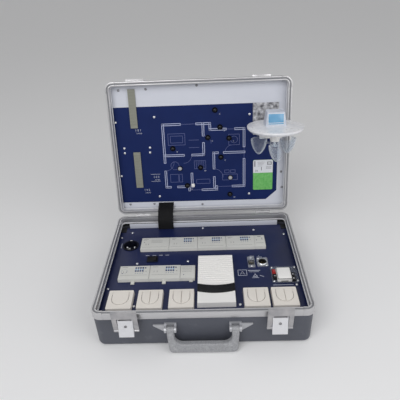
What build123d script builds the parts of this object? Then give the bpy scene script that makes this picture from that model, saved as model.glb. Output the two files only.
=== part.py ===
from build123d import *
import os
from math import cos, radians, sin

os.makedirs("parts", exist_ok=True)

# Driving dimensions of the case, in millimetres and degrees
case_width = 460.0
case_depth = 350.0
base_height = 100.0
lid_height = 55.0
open_angle = 101.5
corner_radius = 19.0
shell_wall = 6.0
floor_thickness = 6.0
edge_radius = 10.0

# Aluminium frame round each rim: a channel that sits on the wall
frame_skin = 1.9
frame_face = 17.2
frame_top = 2.4
corner_reach = 26.0
corner_proud = 1.0
corner_seam = 0.2
groove_width = 3.4
groove_depth = 1.4
rim_gap = 0.3

# Stop hinges
hinge_inset = 67.0
hinge_setback = 3.0
hinge_width = 40.0
knuckle_radius = 2.8
knuckle_gap = 0.2
leaf_thickness = 1.5
leaf_height = 16.5
leaf_edge = 3.4
hinge_pin_radius = 1.2
pin_clearance = 0.05
stop_gap = 0.3
stop_nose = 5.5
foot_radius = 9.0
foot_inset = 35.0
foot_height = 12.0
foot_drop = 72.0

# Draw latches
latch_inset = 74.0
latch_pivot_out = 6.5
latch_drop = 7.0
latch_link = 31.0
lever_tilt = 8.0
claw_tilt = 3.0
lever_width = 31.0
lever_length = 43.0
lever_fold = 24.0
lever_kick = 1.8
lever_sheet = 1.3
lever_stand = 3.1
lever_top_gap = 2.5
latch_pin_radius = 1.5
latch_eye_radius = 2.9
latch_side_gap = 0.3
bracket_sheet = 1.5
bracket_top_drop = 1.5
bracket_bottom_drop = 39.0
claw_width = 52.0
claw_window_gap = 1.2
claw_height = 55.0
claw_window_height = 36.0
claw_sheet = 2.0
claw_eye_radius = 2.6
catch_rib_low = 10.0
catch_rib_high = 14.0
catch_low = 4.0
catch_sheet = 2.0
catch_reach = 4.5
catch_width = 45.0
catch_bump = 14.0
catch_bump_reach = 3.6
claw_lip_gap = 0.4
key_hole_radius = 3.4

# Carrying handle
handle_pivot_x = 67.0
handle_pivot_out = 8.0
handle_drop = 41.0
handle_tilt = 8.0
handle_arm_width = 15.0
grip_inner = 34.5
grip_height = 22.5
grip_thickness = 14.0
grip_inner_radius = 18.0
grip_outer_radius = 9.0
grip_edge = 3.6
grip_outer_half = 71.0
arm_straight = 12.0
handle_hub_radius = 6.5
handle_pin_radius = 2.5
handle_side_gap = 0.5
mount_cheek = 4.5
mount_plate = 3.0
mount_top_drop = 30.0
mount_bottom_drop = 55.0
mount_tail_tip = 103.0
mount_tail_drop = 37.0

# Base panel and what carries it
panel_thickness = 3.0
panel_drop = 27.0
panel_gap = 0.6
panel_corner = 12.0
rail_width = 12.0
rail_depth = 12.0
strip_setback = 13.1
strip_height = 14.0
strip_thickness = 2.0
screw_head_radius = 3.2
screw_head_height = 1.8
screw_shank_radius = 1.5
screw_gap = 0.1
screw_length = 8.0

# DIN devices
module_width = 72.0
nose_depth = 45.0
body_depth = 84.0
module_rise = 9.0
module_shoulder_drop = 15.0
module_foot_z = 17.0
rear_row_y = 75.25
front_row_y = -32.5
rear_row_x = -158.0
front_row_x = -196.0
device_gap = 0.3
din_width = 35.0
din_hat = 25.0
din_height = 7.5
din_sheet = 1.0
din_top_z = 23.0
din_end = 6.0
standoff_radius = 8.0
rear_line_width = 27.0
front_line_width = 34.0
line_step = 2.0
cutout_gap = 0.5
key_left = 37.0
key_pitch = 5.4
key_rear_edge = 4.0
key_columns = 4
key_rows = 2
key_row_pitch = 9.0
key_size = 3.8
key_length = 8.0
key_height = 2.2
key_travel = 0.5
key_mat = 0.8
key_pocket = 2.4
key_gap = 0.3

# Wall switches on the panel
plate_size = 55.5
plate_height = 10.0
plate_setback = 48.0
plate_centres = (-179.0, -114.0, -45.8, 115.7, 176.3)
plate_shell = 2.4
plate_corner = 3.0
rocker_width = 36.0
rocker_top = 21.0
rocker_arc_centre = 3.0
rocker_gap = 0.8
rocker_thickness = 3.0
rocker_crown = 1.5
rocker_pivot_rise = 5.2
rocker_axle_radius = 1.0
rocker_hub_radius = 2.2
rocker_split = 0.6
rocker_edge = 1.4
axle_cheek = 1.5
plate_draft = 5.0
insert_radius = 23.0
insert_depth = 30.0
carrier_size = 48.0
carrier_thickness = 1.2

# Presence sensor on the base panel
sensor_left = -11.5
sensor_right = 71.0
sensor_rear_offset = 180.5
sensor_setback = 28.0
sensor_base_thickness = 4.0
sensor_cover_rise = 16.0
sensor_lip_rise = 14.5
sensor_cover_offset = 79.5
sensor_visor_offset = 57.0
sensor_bow = 6.0
sensor_draft = 3.0
sensor_rib_pitch = 7.0
sensor_rib_width = 2.0
sensor_rib_depth = 1.2

# Connectors on the base panel
mains_x = -186.0
mains_y = 78.0
mains_flange_radius = 20.5
mains_recess_radius = 17.8
mains_body_radius = 19.3
mains_recess_depth = 18.0
mains_body_depth = 28.0
mains_flange_height = 2.0
mains_pin_spacing = 19.0
mains_pin_radius = 2.5
mains_pin_depth = 6.0
contact_width = 5.0
contact_depth = 2.0
power_x = -124.0
power_y = 22.0
power_width = 27.0
power_depth = 21.0
power_bezel_height = 3.0
power_body_width = 24.0
power_body_depth = 17.6
power_body_drop = 12.0
power_tilt = 8.0
power_rocker_length = 20.4
power_rocker_width = 14.0
power_pocket_gap = 0.5
power_pocket_depth = 8.0
power_rocker_rise = 3.4
power_rocker_dip = 1.0
power_rocker_low = 4.0
power_pivot_rise = 0.5
network_x = 115.5
network_y = 3.5
network_width = 16.7
network_length = 38.0
network_offset = 3.0
network_socket = 14.5
network_opening = 11.7
network_body_depth = 18.0
round_x = 142.0
round_y = 2.0
round_width = 26.0
round_length = 31.0
round_socket_radius = 9.5
round_body_radius = 11.0
round_body_depth = 22.0
flange_thickness = 2.0
socket_depth = 12.0

# Demonstration unit on the base panel
demo_left = 157.0
demo_right = 218.0
demo_rear = -17.0
demo_front = -70.0
demo_base_thickness = 3.0
demo_box_left = 168.0
demo_box_right = 200.5
demo_box_rear = -32.0
demo_box_rise = 15.0
demo_clamp_rise = 8.0
demo_clamp_length = 28.0

# Cable sleeve from the base to the lid
sleeve_x = -100.5
sleeve_width = 41.0
sleeve_thickness = 5.0
sleeve_slot_gap = 0.3
sleeve_lid_height = 19.6
sleeve_lid_slot = 9.0
sleeve_steps = ((30.0, 17.8), (7.0, 18.8), (-12.0, 5.8), (-25.5, -7.0), (-25.5, -38.0))
sleeve_radii = (9.0, 12.0, 11.0)

# Lid panel and what it carries
lid_panel_depth = 22.0
lid_panel_gap = 0.7
lid_panel_corner = 14.0
blind_width = 18.0
blind_height = 98.0
blind_proud = 4.0
blind_slat_pitch = 8.0
blind_slat_depth = 1.2
blind_places = ((-169.0, 281.5), (-168.5, 119.5))
lamp_base_radius = 5.8
lamp_base_height = 1.6
lamp_radius = 4.2
lamp_height = 5.6
lamp_places = (
    (40, 271.5), (52, 227.7), (20, 201.4), (75, 198), (-73, 175), (53, 148), (-2, 121),
    (-39.5, 71.4), (75.6, 43), (-57, 120), (77, 90.4), (-24, 72),
)
lid_inner_screws = (
    (-116, 259), (-133, 179.5), (-133.6, 166.5), (128, 258), (127.4, 43), (-116.6, 42.5),
)
lid_left_screws = ((4.4, 248), (20.4, 179.6), (20.4, 166.6), (5.4, 103.5))
lid_right_screws = ((8.9, 103), (5.4, 59))
lid_high_screws = ((-196, 13.4), (-132, 12.4), (-4, 7.4))
lid_low_screws = ((-195, 12.4), (-133.5, 12.4), (-0.6, 7.4))
card_width = 52.0
card_height = 83.0
card_thickness = 1.6
card_x = 164.0
card_s = 95.5

# Weather station on the lid
station_x = 178.5
station_s = 236.0
station_out = 99.0
disc_radius = 65.5
disc_rim = 9.0
disc_dome = 4.0
disc_edge = 5.0
disc_tilt = 4.0
head_width = 50.0
head_top_width = 41.0
head_depth = 44.0
head_height = 30.0
head_setback = 12.0
head_shift = 8.0
hub_radius = 16.0
hub_draft = 12.0
hub_height = 27.0
arm_width = 26.0
arm_height = 16.0
arm_drop = 8.5
arm_corner = 3.0
rail_drop = 18.5
bracket_x = 169.5
bracket_plate_width = 65.0
bracket_plate_low = 205.0
bracket_plate_high = 286.0
bracket_plate_thickness = 2.5
rail_web = 8.0
rail_flange = 20.0
rail_flange_thickness = 3.0
rail_length = 56.0
rail_clear_out = 22.8
rail_flange_out = 26.0
slide_gap = 0.4
shoe_height = 32.0
shoe_wall = 5.0
axle_length = 14.0
axle_radius = 3.0
cup_orbit = 40.0
cup_radius = 19.5
cup_height = 38.0
cup_wall = 1.5
cup_tip_radius = 7.0
cup_cut = 7.0
cup_count = 3
cup_start = -90.0
wheel_gap = 0.4
wheel_hub_radius = 10.0
wheel_hub_height = 12.0
wheel_arm_radius = 2.2

# Working values that follow from the sizes above
frame_width = shell_wall + 2 * frame_skin
wall_start = frame_top + corner_proud
shell_width = case_width - 2 * frame_skin
shell_depth = case_depth - 2 * frame_skin
shell_radius = corner_radius - frame_skin
inner_width = shell_width - 2 * shell_wall
inner_depth = shell_depth - 2 * shell_wall
inner_radius = shell_radius - shell_wall
front_face = -case_depth / 2
rear_face = case_depth / 2
wall_rear = shell_depth / 2
panel_width = inner_width - 2 * panel_gap
panel_front = -inner_depth / 2 + panel_gap
strip_y = inner_depth / 2 - strip_setback
panel_rear = strip_y + strip_thickness
plate_y = panel_front + plate_setback
sensor_front = panel_front + sensor_setback
sensor_rear = panel_front + sensor_rear_offset
sensor_cover_front = panel_front + sensor_cover_offset
sensor_visor_front = panel_front + sensor_visor_offset
hinge_y = rear_face + hinge_setback
hinge_x = case_width / 2 - hinge_inset
foot_x = case_width / 2 - foot_inset
foot_base_z = base_height - foot_drop
latch_x = case_width / 2 - latch_inset
latch_pivot_z = base_height - latch_drop
bracket_top = base_height - bracket_top_drop
bracket_bottom = base_height - bracket_bottom_drop
handle_pivot_z = base_height - handle_drop
mount_top = base_height - mount_top_drop
mount_bottom = base_height - mount_bottom_drop
mount_tail_z = base_height - mount_tail_drop
base_panel_z = base_height - panel_drop
module_face_z = base_panel_z + module_rise
module_shoulder_z = base_panel_z - module_shoulder_drop
rocker_pivot_z = base_panel_z + rocker_pivot_rise
sensor_cover_top = base_panel_z + sensor_cover_rise
sensor_lip_top = base_panel_z + sensor_lip_rise
power_body_low = base_panel_z - power_body_drop
power_pivot_z = base_panel_z + power_pivot_rise
demo_box_top = base_panel_z + demo_box_rise
demo_clamp_top = base_panel_z + demo_clamp_rise
lid_panel_low = rear_face - inner_depth / 2 + lid_panel_gap
lid_panel_high = rear_face + inner_depth / 2 - lid_panel_gap
lid_panel_half_width = inner_width / 2 - lid_panel_gap
tilt_sin = sin(radians(open_angle))
tilt_cos = cos(radians(open_angle))

# The open lid is modelled as if closed, in a plane that is turned about the hinge axis.
# In it x and y run as on the base, and z runs from the lid's rim to its outer face.
lid_plane = Plane(
    origin=(0, hinge_y * (1 - tilt_cos), base_height + hinge_y * tilt_sin),
    x_dir=(1, 0, 0),
    z_dir=(0, tilt_sin, tilt_cos),
)
lid_rim = lid_plane.offset(rim_gap)
lid_inward = lid_plane.z_dir * -1
lid_back = Plane(origin=lid_plane.offset(lid_height).origin, x_dir=(1, 0, 0), z_dir=lid_inward)
base_rim = Plane(origin=(0, 0, base_height), x_dir=(1, 0, 0), z_dir=(0, 0, -1))
panel_top = Plane.XY.offset(base_panel_z)
front_plane = Plane(origin=(0, front_face, 0), x_dir=(1, 0, 0), z_dir=(0, -1, 0))
lid_front = Plane(
    origin=lid_plane.from_local_coords((0, front_face, 0)), x_dir=(1, 0, 0), z_dir=lid_plane.y_dir * -1
)
# On this plane y runs up the open lid from its middle, and z runs out of the panel to the viewer.
lid_face = Plane(
    origin=lid_plane.offset(lid_panel_depth).origin, x_dir=(1, 0, 0), z_dir=lid_inward
)
# The station's disc stands out from the lid, tipped a little forward: y runs back to the panel.
disc_plane = Plane(
    origin=lid_face.from_local_coords((station_x, station_s - rear_face, station_out)),
    x_dir=(1, 0, 0),
    z_dir=lid_face.y_dir * cos(radians(disc_tilt)) + lid_face.z_dir * sin(radians(disc_tilt)),
)
disc_side_normal = disc_plane.y_dir * -1


def save(name, *pieces):
    """Write the solids of one or more finished pieces as one named node."""
    node = Compound([solid for piece in pieces for solid in piece.part.solids()])
    node.label = name
    export_step(node, f"parts/{name}.step")


def up_lid(height):
    """Place on lid_face for a height measured up the open lid from its rear face."""
    return height - rear_face


def lid_side(x):
    """Side plane of the lid: local x runs along its depth, local y to its outer face."""
    return Plane(
        origin=lid_plane.from_local_coords((x, 0, 0)), x_dir=lid_plane.y_dir, z_dir=(1, 0, 0)
    )


def latch_side(x, y, z, lean):
    """Side plane through a latch pivot: local x runs outwards, local y up, leaning out."""
    outward = Vector(0, -cos(radians(lean)), -sin(radians(lean)))
    return Plane(origin=(x, y, z), x_dir=outward, z_dir=(-1, 0, 0))


def cup_profile(radius, depth):
    """Half of a pointed cup, open at the top, drawn beside its upright axis."""
    with BuildSketch() as outline:
        with BuildLine():
            Line((0, 0), (radius, 0))
            Bezier((radius, 0), (radius, -depth / 2), (cup_tip_radius, -depth), (0, -depth))
            Line((0, -depth), (0, 0))
        make_face()
    return outline.sketch


def case_shell(floor, height, name):
    """One half of the case: a rounded tray, modelled from its outer face to its rim."""
    with BuildPart() as tray:
        with BuildSketch(floor):
            RectangleRounded(shell_width, shell_depth, shell_radius)
        extrude(amount=height)
        outer = tray.faces().sort_by(lambda face: floor.to_local_coords(face.center()).Z)[0]
        fillet(outer.edges(), radius=edge_radius)
        with BuildSketch(floor.offset(floor_thickness)):
            RectangleRounded(inner_width, inner_depth, inner_radius)
        extrude(amount=height, mode=Mode.SUBTRACT)
    save(name, tray)


def rim_frame(rim, name):
    """Four bars and four cast corners that cap the wall, modelled from the rim inwards."""
    corner_x = case_width - corner_reach
    corner_y = case_depth - corner_reach
    open_width = case_width - 2 * frame_width
    open_depth = case_depth - 2 * frame_width
    open_radius = corner_radius - frame_width
    with BuildPart() as frame:
        with BuildSketch(rim.offset(corner_proud)):
            RectangleRounded(case_width, case_depth, corner_radius)
            RectangleRounded(open_width, open_depth, open_radius, mode=Mode.SUBTRACT)
            with GridLocations(corner_x, corner_y, 2, 2):
                Rectangle(corner_reach, corner_reach, mode=Mode.SUBTRACT)
        extrude(amount=frame_face - corner_proud)
        with BuildSketch(rim):
            with GridLocations(corner_x + corner_seam, corner_y + corner_seam, 2, 2):
                Rectangle(corner_reach - corner_seam, corner_reach - corner_seam)
            RectangleRounded(case_width, case_depth, corner_radius, mode=Mode.INTERSECT)
            RectangleRounded(open_width, open_depth, open_radius, mode=Mode.SUBTRACT)
        extrude(amount=frame_face)
        with BuildSketch(rim.offset(wall_start)):
            RectangleRounded(shell_width, shell_depth, shell_radius)
            RectangleRounded(inner_width, inner_depth, inner_radius, mode=Mode.SUBTRACT)
        extrude(amount=frame_face, mode=Mode.SUBTRACT)
        with BuildSketch(rim):
            inset = frame_width - groove_width
            RectangleRounded(case_width - inset, case_depth - inset, corner_radius - inset / 2)
            inset = frame_width + groove_width
            RectangleRounded(
                case_width - inset, case_depth - inset, corner_radius - inset / 2, mode=Mode.SUBTRACT
            )
        extrude(amount=corner_proud + groove_depth, mode=Mode.SUBTRACT)
    save(name, frame)


case_shell(Plane.XY, base_height - wall_start, "base_shell")
case_shell(lid_back, lid_height - rim_gap - wall_start, "lid_shell")
rim_frame(base_rim, "base_frame")
rim_frame(lid_rim, "lid_frame")

# Hinges: three knuckles on the base leaf and two on the lid leaf, on one pin each
knuckle_pitch = hinge_width / 5
base_knuckles = (-2 * knuckle_pitch, 0, 2 * knuckle_pitch)
lid_knuckles = (-knuckle_pitch, knuckle_pitch)
knuckle_length = knuckle_pitch - knuckle_gap
leaf_y = rear_face + leaf_thickness / 2
with BuildPart() as base_leaves:
    for side in (-1, 1):
        with BuildSketch(Plane.YZ.offset(side * hinge_x)):
            with Locations((leaf_y, base_height - leaf_edge - leaf_height / 2)):
                Rectangle(leaf_thickness, leaf_height)
        extrude(amount=hinge_width / 2, both=True)
        for place in base_knuckles:
            with BuildSketch(Plane.YZ.offset(side * hinge_x + place)):
                with Locations((hinge_y, base_height)):
                    Circle(knuckle_radius)
                with Locations((leaf_y, base_height - leaf_edge / 2)):
                    Rectangle(leaf_thickness, leaf_edge)
                with Locations((hinge_y, base_height)):
                    Circle(hinge_pin_radius, mode=Mode.SUBTRACT)
            extrude(amount=knuckle_length / 2, both=True)
with BuildPart() as hinge_pins:
    for side in (-1, 1):
        with BuildSketch(Plane.YZ.offset(side * hinge_x)):
            with Locations((hinge_y, base_height)):
                Circle(hinge_pin_radius)
        extrude(amount=hinge_width / 2, both=True)
save("hinge_base_leaves", base_leaves, hinge_pins)

with BuildPart() as lid_leaves:
    for side in (-1, 1):
        with BuildSketch(lid_side(side * hinge_x)):
            with Locations((leaf_y, leaf_edge + leaf_height / 2)):
                Rectangle(leaf_thickness, leaf_height)
        extrude(amount=hinge_width / 2, both=True)
        for place in lid_knuckles:
            with BuildSketch(lid_side(side * hinge_x + place)):
                with Locations((hinge_y, 0)):
                    Circle(knuckle_radius)
                with Locations((leaf_y, leaf_edge / 2)):
                    Rectangle(leaf_thickness, leaf_edge)
            extrude(amount=knuckle_length / 2, both=True)
            nose_front = rear_face + leaf_thickness + stop_gap
            nose_rear = hinge_y + knuckle_radius
            with BuildSketch(Plane.YZ.offset(side * hinge_x + place)):
                with Locations(((nose_front + nose_rear) / 2, base_height - stop_nose / 2)):
                    Rectangle(nose_rear - nose_front, stop_nose)
            extrude(amount=knuckle_length / 2, both=True)
            with BuildSketch(Plane.YZ.offset(side * hinge_x + place)):
                with Locations((hinge_y, base_height)):
                    Circle(hinge_pin_radius + pin_clearance)
            extrude(amount=knuckle_length / 2, both=True, mode=Mode.SUBTRACT)
save("hinge_lid_leaves", lid_leaves)


def rear_feet(plane, height, name):
    """Two rubber feet on the hinge side, on which the case stands when it is carried."""
    with BuildPart() as feet:
        with BuildSketch(plane):
            with Locations((-foot_x, height), (foot_x, height)):
                Circle(foot_radius)
        extrude(amount=foot_height, taper=6)
    save(name, feet)


base_back_plane = Plane(origin=(0, wall_rear, 0), x_dir=(-1, 0, 0), z_dir=(0, 1, 0))
lid_back_plane = Plane(
    origin=lid_plane.from_local_coords((0, wall_rear, 0)), x_dir=(-1, 0, 0), z_dir=lid_plane.y_dir
)
rear_feet(base_back_plane, foot_base_z, "rear_feet_base")
rear_feet(lid_back_plane, lid_height / 2 + frame_face / 2, "rear_feet_lid")

# Latches: bracket on the base, lever on the bracket, claw frame on the lever, catch on the lid
pivot_y = front_face - latch_pivot_out
hub_radius_lever = lever_stand + lever_sheet
flange_in = lever_width / 2 - lever_sheet
ear_out = flange_in - latch_side_gap
ear_in = ear_out - bracket_sheet
bracket_width = 2 * ear_out
link_y = pivot_y - latch_link * sin(radians(lever_tilt))
link_z = latch_pivot_z - latch_link * cos(radians(lever_tilt))
arm_in = lever_width / 2 + claw_window_gap
frame_low = base_height - frame_face

with BuildPart() as brackets:
    for side in (-1, 1):
        ear_plane = latch_side(side * latch_x, pivot_y, latch_pivot_z, 0)
        ear_root = latch_pivot_out - bracket_sheet / 2
        with BuildSketch(ear_plane):
            Circle(latch_eye_radius)
            with Locations((-ear_root / 2, 0)):
                Rectangle(ear_root, 2 * latch_eye_radius)
        extrude(amount=ear_out, both=True)
        with BuildSketch(ear_plane):
            with Locations((-ear_root / 2, 0)):
                Rectangle(ear_root + 4 * latch_eye_radius, 4 * latch_eye_radius)
        extrude(amount=ear_in, both=True, mode=Mode.SUBTRACT)
        with BuildSketch(ear_plane):
            Circle(latch_pin_radius)
        extrude(amount=ear_out, both=True, mode=Mode.SUBTRACT)
        with BuildSketch(front_plane):
            with Locations((side * latch_x, (bracket_top + bracket_bottom) / 2)):
                Rectangle(bracket_width, bracket_top - bracket_bottom)
        extrude(amount=bracket_sheet)
        with BuildSketch(front_plane):
            with Locations((side * latch_x, (frame_low + bracket_bottom) / 2)):
                Rectangle(bracket_width, frame_low - bracket_bottom)
        extrude(amount=-frame_skin)
with BuildPart() as latch_pins:
    for side in (-1, 1):
        with BuildSketch(latch_side(side * latch_x, pivot_y, latch_pivot_z, 0)):
            Circle(latch_pin_radius)
        extrude(amount=lever_width / 2, both=True)
save("latch_brackets", brackets, latch_pins)

for side, side_name in ((-1, "left"), (1, "right")):
    lever_plane = latch_side(side * latch_x, pivot_y, latch_pivot_z, -lever_tilt)
    tip_out = hub_radius_lever + lever_kick
    flange_low = latch_link + latch_eye_radius
    with BuildPart() as lever:
        with BuildSketch(lever_plane):
            Circle(hub_radius_lever)
            with BuildLine():
                Polyline(
                    (-latch_eye_radius, 0),
                    (hub_radius_lever, 0),
                    (hub_radius_lever, -lever_fold),
                    (tip_out, -lever_length),
                    (tip_out - lever_sheet, -lever_length),
                    (-latch_eye_radius, -flange_low),
                    close=True,
                )
            make_face()
        extrude(amount=lever_width / 2, both=True)
        with BuildSketch(lever_plane):
            with BuildLine():
                far = 2 * hub_radius_lever
                Polyline(
                    (-far, far),
                    (far, far),
                    (far, -lever_top_gap),
                    (lever_stand, -lever_top_gap),
                    (lever_stand, -lever_fold),
                    (tip_out - lever_sheet, -lever_length),
                    (tip_out - lever_sheet, -lever_length - far),
                    (-far, -lever_length - far),
                    close=True,
                )
            make_face()
        extrude(amount=flange_in, both=True, mode=Mode.SUBTRACT)
        with BuildSketch(lever_plane):
            Circle(latch_pin_radius + pin_clearance)
            with Locations((0, -latch_link)):
                Circle(latch_pin_radius)
        extrude(amount=lever_width, both=True, mode=Mode.SUBTRACT)
        key_plane = Plane(origin=lever_plane.origin, x_dir=(1, 0, 0), z_dir=lever_plane.x_dir)
        with BuildSketch(key_plane):
            with Locations((0, -lever_fold + 2 * key_hole_radius)):
                Circle(key_hole_radius)
        extrude(amount=2 * hub_radius_lever, mode=Mode.SUBTRACT)
    with BuildPart() as link_pin:
        with BuildSketch(lever_plane):
            with Locations((0, -latch_link)):
                Circle(latch_pin_radius)
        extrude(amount=claw_width / 2, both=True)
    save(f"latch_lever_{side_name}", lever, link_pin)

    claw_plane = latch_side(side * latch_x, link_y, link_z, claw_tilt)
    lip_low = base_height + catch_rib_high + claw_lip_gap - (latch_pivot_z - latch_link)
    lip_reach = latch_pivot_out - catch_sheet - claw_lip_gap
    with BuildPart() as claw:
        with BuildSketch(claw_plane):
            Circle(claw_eye_radius)
            with Locations((0, claw_height / 2)):
                Rectangle(claw_sheet, claw_height)
            with Locations((-lip_reach / 2, lip_low + claw_sheet / 2)):
                Rectangle(lip_reach, claw_sheet)
        extrude(amount=claw_width / 2, both=True)
        with BuildSketch(claw_plane):
            with Locations((0, claw_window_height / 2 - claw_eye_radius)):
                Rectangle(4 * claw_eye_radius, claw_window_height + 2 * claw_eye_radius)
        extrude(amount=arm_in, both=True, mode=Mode.SUBTRACT)
        with BuildSketch(claw_plane):
            Circle(latch_pin_radius + pin_clearance)
        extrude(amount=claw_width, both=True, mode=Mode.SUBTRACT)
    save(f"latch_claw_{side_name}", claw)

with BuildPart() as catches:
    for side in (-1, 1):
        with BuildSketch(lid_front):
            with Locations((side * latch_x, (catch_low + frame_face) / 2)):
                RectangleRounded(catch_width, frame_face - catch_low, 2)
        extrude(amount=catch_sheet)
        with BuildSketch(lid_front):
            with Locations((side * latch_x, (catch_rib_low + catch_rib_high) / 2)):
                Rectangle(catch_width, catch_rib_high - catch_rib_low)
        extrude(amount=catch_reach)
        with BuildSketch(lid_front):
            with Locations((side * latch_x, (catch_low + catch_rib_low) / 2)):
                RectangleRounded(catch_bump, catch_rib_low - catch_low, 2)
        extrude(amount=catch_bump_reach)
save("latch_catches", catches)

# Carrying handle between two forked mounts
handle_y = front_face - handle_pivot_out
wall_front = front_face + frame_skin
lean_sin = sin(radians(handle_tilt))
lean_cos = cos(radians(handle_tilt))
handle_plane = Plane(
    origin=(0, handle_y, handle_pivot_z), x_dir=(1, 0, 0), z_dir=(0, -lean_cos, lean_sin)
)
grip_outer = grip_inner + grip_height
arm_outer = handle_pivot_x + handle_arm_width / 2
arm_inner = handle_pivot_x - handle_arm_width / 2
arm_end = handle_arm_width / 3
cheek_in = handle_arm_width / 2 + handle_side_gap

with BuildPart() as handle:
    with BuildSketch(handle_plane):
        with BuildLine():
            FilletPolyline(
                (0, -grip_outer),
                (grip_outer_half, -grip_outer),
                (arm_outer, -arm_straight),
                (arm_outer, 0),
                (arm_inner, 0),
                (arm_inner, -grip_inner),
                (0, -grip_inner),
                radius=(grip_outer_radius, grip_outer_radius, arm_end, arm_end, grip_inner_radius),
            )
            Line((0, -grip_inner), (0, -grip_outer))
        make_face()
        mirror(about=Plane.YZ)
    extrude(amount=grip_thickness / 2, both=True)
    grip_faces = handle.faces().filter_by(handle_plane)
    fillet(grip_faces.edges(), radius=grip_edge)
    for side in (-1, 1):
        with BuildSketch(Plane.YZ.offset(side * handle_pivot_x)):
            with Locations((handle_y, handle_pivot_z)):
                Circle(handle_hub_radius)
        extrude(amount=handle_arm_width / 2, both=True)
    with BuildSketch(Plane(origin=(0, handle_y, handle_pivot_z), x_dir=(0, 1, 0), z_dir=(1, 0, 0))):
        Circle(handle_pin_radius + pin_clearance)
    extrude(amount=case_width / 2, both=True, mode=Mode.SUBTRACT)
save("handle", handle)

with BuildPart() as mounts:
    for side in (-1, 1):
        with BuildSketch(front_plane.offset(-frame_skin)):
            with BuildLine():
                near = side * (handle_pivot_x - cheek_in - mount_cheek)
                far = side * (handle_pivot_x + cheek_in + mount_cheek)
                Polyline(
                    (near, mount_bottom),
                    (near, mount_top),
                    (far, mount_top),
                    (far, mount_tail_z + mount_plate),
                    (side * mount_tail_tip, mount_tail_z + mount_plate),
                    (side * mount_tail_tip, mount_tail_z),
                    (far, mount_bottom),
                    close=True,
                )
            make_face()
        extrude(amount=mount_plate)
        for cheek in (-1, 1):
            cheek_x = side * handle_pivot_x + cheek * (cheek_in + mount_cheek / 2)
            with BuildSketch(Plane.YZ.offset(cheek_x)):
                with Locations((handle_y, handle_pivot_z)):
                    Circle(handle_hub_radius)
                with Locations(((handle_y + wall_front) / 2, handle_pivot_z)):
                    Rectangle(wall_front - handle_y, 2 * handle_hub_radius)
                with Locations((handle_y, handle_pivot_z)):
                    Circle(handle_pin_radius, mode=Mode.SUBTRACT)
            extrude(amount=mount_cheek / 2, both=True)
with BuildPart() as handle_pins:
    for side in (-1, 1):
        with BuildSketch(Plane.YZ.offset(side * handle_pivot_x)):
            with Locations((handle_y, handle_pivot_z)):
                Circle(handle_pin_radius)
        extrude(amount=cheek_in + mount_cheek, both=True)
save("handle_mounts", mounts, handle_pins)

# Base panel, with an opening for everything that passes through it
rear_row_length = 4 * module_width + rear_line_width
front_row_length = 2 * module_width + front_line_width
panel_side = panel_width / 2
screw_places = (
    (-190, panel_rear - 22), (6.5 - panel_side, 113), (-1, panel_rear - 9), (134, panel_rear - 23),
    (panel_side - 10.5, 111.5), (-160, 8), (-36.5, 12.6), (panel_side - 11.5, -75),
    (6.5 - panel_side, -76), (-148, panel_front + 36.5), (80, panel_front + 35.5),
)
network_socket_y = network_y - network_offset
rocker_y = plate_y + rocker_arc_centre
sleeve_slot = sleeve_thickness + 2 * sleeve_slot_gap
sleeve_route = [(rear_face + step_y, base_height + step_z) for step_y, step_z in sleeve_steps]
sleeve_y = sleeve_route[-1][0]
with BuildPart() as base_panel:
    with BuildSketch(panel_top.offset(-panel_thickness)):
        with Locations((0, (panel_front + panel_rear) / 2)):
            RectangleRounded(panel_width, panel_rear - panel_front, panel_corner)
        with Locations((rear_row_x + rear_row_length / 2, rear_row_y)):
            Rectangle(
                rear_row_length + 2 * cutout_gap, nose_depth + 2 * cutout_gap, mode=Mode.SUBTRACT
            )
        with Locations((front_row_x + front_row_length / 2, front_row_y)):
            Rectangle(
                front_row_length + 2 * cutout_gap, nose_depth + 2 * cutout_gap, mode=Mode.SUBTRACT
            )
        with Locations(*[(x, plate_y) for x in plate_centres]):
            Circle(insert_radius + cutout_gap, mode=Mode.SUBTRACT)
        with Locations((mains_x, mains_y)):
            Circle(mains_body_radius + cutout_gap / 2, mode=Mode.SUBTRACT)
        with Locations((power_x, power_y)):
            Rectangle(
                power_body_width + cutout_gap, power_body_depth + cutout_gap, mode=Mode.SUBTRACT
            )
        with Locations((network_x, network_socket_y)):
            Rectangle(
                network_socket + cutout_gap, network_socket + cutout_gap, mode=Mode.SUBTRACT
            )
        with Locations((round_x, round_y)):
            Circle(round_body_radius + cutout_gap / 2, mode=Mode.SUBTRACT)
        with Locations((sleeve_x, sleeve_y)):
            Rectangle(
                sleeve_width + 2 * sleeve_slot_gap, sleeve_slot, mode=Mode.SUBTRACT
            )
        with Locations(*screw_places):
            Circle(screw_shank_radius + screw_gap, mode=Mode.SUBTRACT)
    extrude(amount=panel_thickness)
save("base_panel", base_panel)


def screws(plane, places, name):
    """Pan-head screws standing on a panel."""
    with BuildPart() as group:
        with BuildSketch(plane.offset(-screw_length)):
            with Locations(*places):
                Circle(screw_shank_radius)
        extrude(amount=screw_length)
        with BuildSketch(plane):
            with Locations(*places):
                Circle(screw_head_radius)
        extrude(amount=screw_head_height, taper=20)
    save(name, group)


screws(panel_top, screw_places, "base_panel_screws")

panel_low = base_panel_z - panel_thickness
with BuildPart() as supports:
    for side in (-1, 1):
        with BuildSketch(Plane.XY.offset(panel_low - rail_depth)):
            with Locations((side * (inner_width - rail_width) / 2, 0)):
                Rectangle(rail_width, inner_depth - 2 * inner_radius - 2 * panel_gap)
            with Locations(*screw_places):
                Circle(screw_shank_radius, mode=Mode.SUBTRACT)
        extrude(amount=rail_depth)
save("panel_supports", supports)

with BuildPart() as strip:
    strip_half = inner_width / 2 - inner_radius - panel_corner
    with BuildSketch(panel_top):
        with Locations((0, strip_y + strip_thickness / 2)):
            Rectangle(2 * strip_half, strip_thickness)
    extrude(amount=strip_height)
save("rear_trim_strip", strip)

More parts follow.
